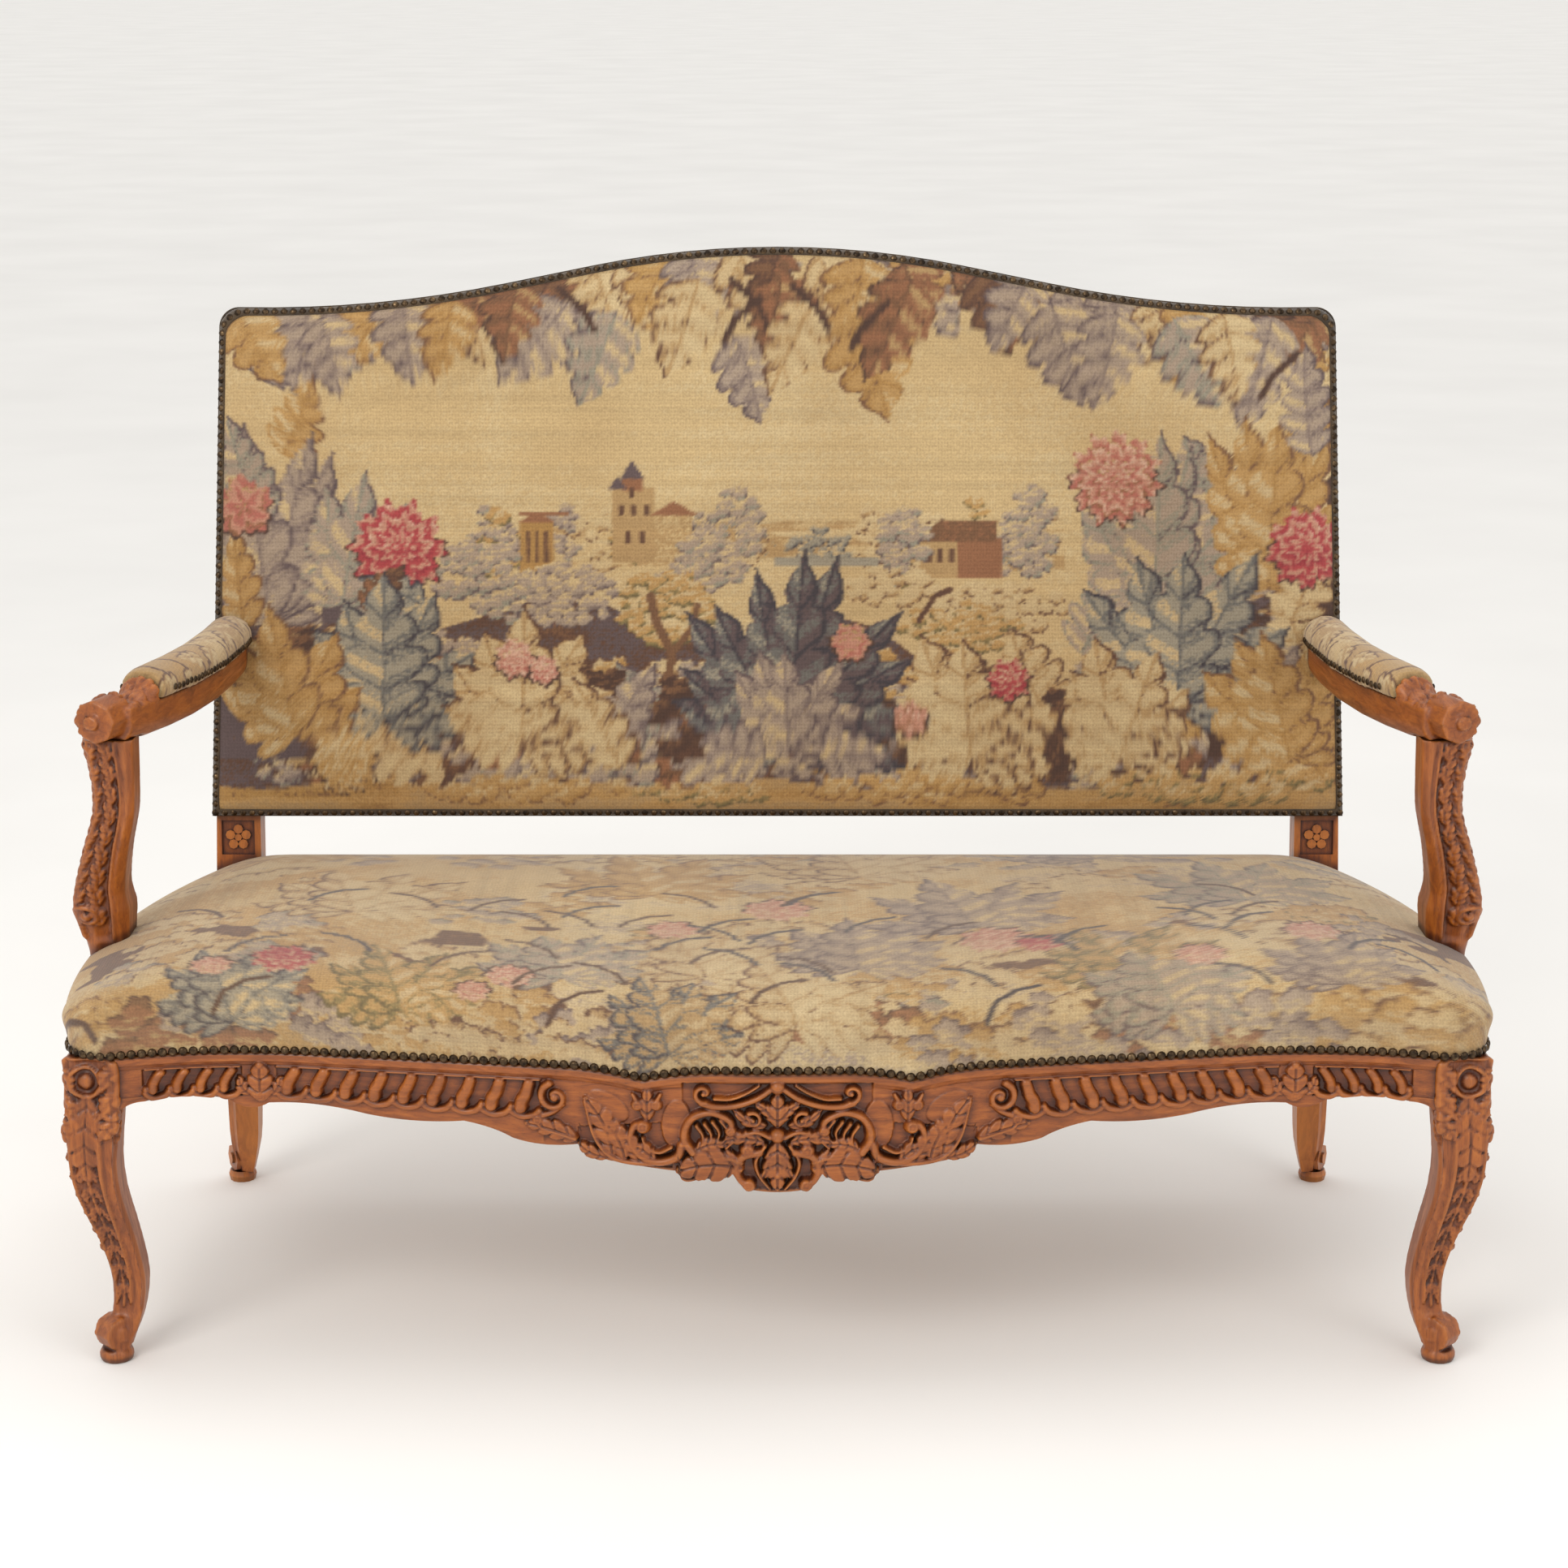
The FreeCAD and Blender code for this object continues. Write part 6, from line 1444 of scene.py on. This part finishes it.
def support_carving():
    c = Relief(-110, 110, 380, 740, 0.9, -2.0)
    for k in range(9):
        z = 474 + 26 * k
        c.leaf(2, z, 12, z + 30, 15, 4.4, 4, 3)
        c.leaf(26, z - 8, 14, z + 22, 14, 4.6, -4, 3)
        c.leaf(30, z + 4, 46, z + 30, 15, 4.6, 3, 3)
        c.leaf(62, z - 4, 50, z + 24, 14, 4.2, -3, 3)
    c.ridge([(-8, 430), (-12, 500), (-10, 600), (-8, 712)], 5.0, 4.0, 0.9)
    c.ridge([(20, 440), (24, 520), (20, 620), (22, 706)], 5.0, 5.0, 0.8)
    c.scroll(14, 486, 15, 0, 380, 7.0, 5.2)
    c.scroll(30, 690, 12, 180, -380, 6.0, 4.6)
    return c


def leg_keep(around, z):
    inner = -26 - 22 * smooth_step(z, 250, 320)
    return between(z, 48, 66, 374, 379) * between(around, inner - 8, inner, 66, 74)


def support_keep(around, z):
    return between(z, 452, 462, 700, 708) * between(around, -16, -8, 66, 74)


def carved_uprights():
    legs, supports = leg_carving(), support_carving()
    for side in ("left", "right"):
        for source, name, rounds, carving, girth, bounds in (
                ("front_leg_", "carved_leg_", 9, legs, 30.0, leg_keep),
                ("arm_support_", "carved_support_", 8, supports, 26.0, support_keep)):
            obj = dense_copy(source + side, name + side, 2.0)
            relax(obj, rounds)
            carve_round(obj, carving, girth, bounds)
            finish(obj, wood_z)
            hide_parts(source + side)


def arm_carving():
    """Leaves round the arm behind its volute; u runs round the arm, v back from its front."""
    c = Relief(-110, 110, 0, 480, 0.9, 0.0)
    for k in range(-3, 4):
        c.leaf(k * 22, 96, k * 20, 40, 20, 4.2, 2, 3)
        c.ridge([(k * 22 + 10, 100), (k * 20 + 9, 46)], 4.0, 3.0, 0.5)
    return c


def carved_arms():
    carving = arm_carving()
    for side, sign in (("left", -1.0), ("right", 1.0)):
        obj = dense_copy("arm_" + side, "carved_arm_" + side, 2.2)
        relax(obj, 10)
        p = coords(obj)
        n = vertex_rows(obj, "normal")
        back = p[:, 1] - p[:, 1].min()
        front = back < 120
        reach = (p[:, 0] - p[front, 0].mean()) * sign
        around = np.arctan2(reach, p[:, 2] - p[front, 2].mean()) * 26.0
        h = carving.sample(around, back) * between(back, 34, 44, 92, 104) * smooth_step(around, -34, -26)
        # turned spiral on the volute's outer end
        dy, dz = p[:, 1] - VOLUTE_Y, p[:, 2] - VOLUTE_Z
        rho = np.hypot(dy, dz)
        spiral = np.cos(rho / 7.0 * 2 * math.pi - np.arctan2(dz, dy))
        face = (np.abs(n[:, 0]) > 0.6) & (rho < 25) & (reach > 0)
        h = np.where(face, h + 1.3 * spiral * (rho > 7), h)
        put_coords(obj, p + n * h[:, None])
        finish(obj, wood_y)
        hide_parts("arm_" + side)


carved_rail()
carved_uprights()
carved_arms()


# Arm pads

def pad_floor(p):
    """Height of the pad's lower edge at places along the arm."""
    ys = np.linspace(p[:, 1].min() + 4, p[:, 1].max() - 4, 24)
    return ys, np.array([p[np.abs(p[:, 1] - y) < 6, 2].min() for y in ys])


def build_pad(side, sign):
    obj = dense_copy("arm_pad_" + side, "arm_upholstery_" + side, 4.0)
    p = coords(obj)
    swell(obj, p[:, 2] < np.interp(p[:, 1], *pad_floor(p)) + 9.0, 4.0)
    subdivide(obj, 1)
    p = coords(obj)
    mid = (p[:, 0].min() + p[:, 0].max()) / 2
    around = (p[:, 0] - mid) * sign + (p[:, 2] - p[:, 2].mean()) * 0.4
    along = p[:, 1] - p[:, 1].min()
    lay_yarn(obj, weave_pad().sample(around, along), np.stack([around, along], 1))
    finish(obj, tapestry)
    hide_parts("arm_pad_" + side)
    places = []
    for way in (1, -1):
        line = []
        for y, z in list(zip(*pad_floor(p)))[1:-1]:
            near = p[(np.abs(p[:, 1] - y) < 5) & (np.abs(p[:, 2] - z - 6.0) < 4)]
            if len(near):
                line.append(near[np.argmax(near[:, 0] * way)])
        places += [(point + np.array([way * 0.6, 0, 0]), (way, 0.0, -0.1)) for point, _ in walk(line, 10.6)]
    nail_mesh("arm_nails_" + side, places, 4.2)


build_pad("left", -1.0)
build_pad("right", 1.0)


def back_gimp():
    """Dark braid round the front of the back, under the nails."""
    verts = []
    profile = ((0.0, -10.0), (1.0, -16.0), (4.5, -21.5), (8.5, -24.0), (9.5, -22.0))
    for inset, depth in profile:
        ring = back_ring(inset, (120, 80, 200, 80), False)
        verts += [rake_point(x, FRAME_FACE_Y + depth, sv) for x, sv in ring]
    obj = make_object("back_border_braid", verts, grid_faces(len(profile), len(ring), wrap=True))
    finish(obj, gimp)


back_gimp()


# Floor, light and camera

floor_mesh = bmesh.new()
bmesh.ops.create_grid(floor_mesh, x_segments=8, y_segments=8, size=400.0)
floor_data = bpy.data.meshes.new("floor")
floor_mesh.to_mesh(floor_data)
floor_mesh.free()
floor = bpy.data.objects.new("floor", floor_data)
bpy.context.scene.collection.objects.link(floor)
pale, pale_tree, pale_bsdf = new_material("pale_floor")
cloud = noise(pale_tree, position(pale_tree), 1.2, 3.0)
pale_ramp = ramp(pale_tree, cloud, [(0.3, (240, 239, 237)), (0.7, (246, 245, 243))])
wire(pale_tree, pale_bsdf, {"Base Color": pale_ramp, "Roughness": 0.9})
give(floor, pale)

world = bpy.data.worlds.new("studio")
bpy.context.scene.world = world
world.use_nodes = True
wire(world.node_tree, world.node_tree.nodes["Background"], {0: (1.0, 0.985, 0.96, 1.0), 1: 0.93})


def area(name, place, target, size, power, colour):
    data = bpy.data.lights.new(name, "AREA")
    data.shape = "RECTANGLE"
    data.size, data.size_y = size
    data.energy = power
    data.color = colour
    obj = bpy.data.objects.new(name, data)
    obj.location = place
    obj.rotation_euler = (Vector(target) - Vector(place)).to_track_quat("-Z", "Y").to_euler()
    bpy.context.scene.collection.objects.link(obj)


area("key", (-2.2, -3.4, 3.4), (0, 0, 0.6), (2.2, 1.6), 78, (1.0, 0.97, 0.93))
area("fill", (2.8, -3.0, 2.2), (0, 0, 0.6), (2.0, 1.6), 22, (1.0, 0.98, 0.96))
area("top", (0, 0.2, 3.6), (0, 0, 0.4), (3.0, 2.0), 18, (1.0, 1.0, 1.0))

cam = bpy.data.cameras.new("camera")
cam.sensor_width = SENSOR
cam.lens = PHOTO_FOCAL / PHOTO_WIDTH * SENSOR
cam.shift_x = PHOTO_SHIFT / PHOTO_WIDTH
camera = bpy.data.objects.new("camera", cam)
camera.location = (0.0, -3.704, 1.589)
camera.rotation_euler = (math.radians(75.25), 0, 0)
bpy.context.scene.collection.objects.link(camera)
bpy.context.scene.camera = camera
bpy.context.scene.view_settings.view_transform = "Standard"
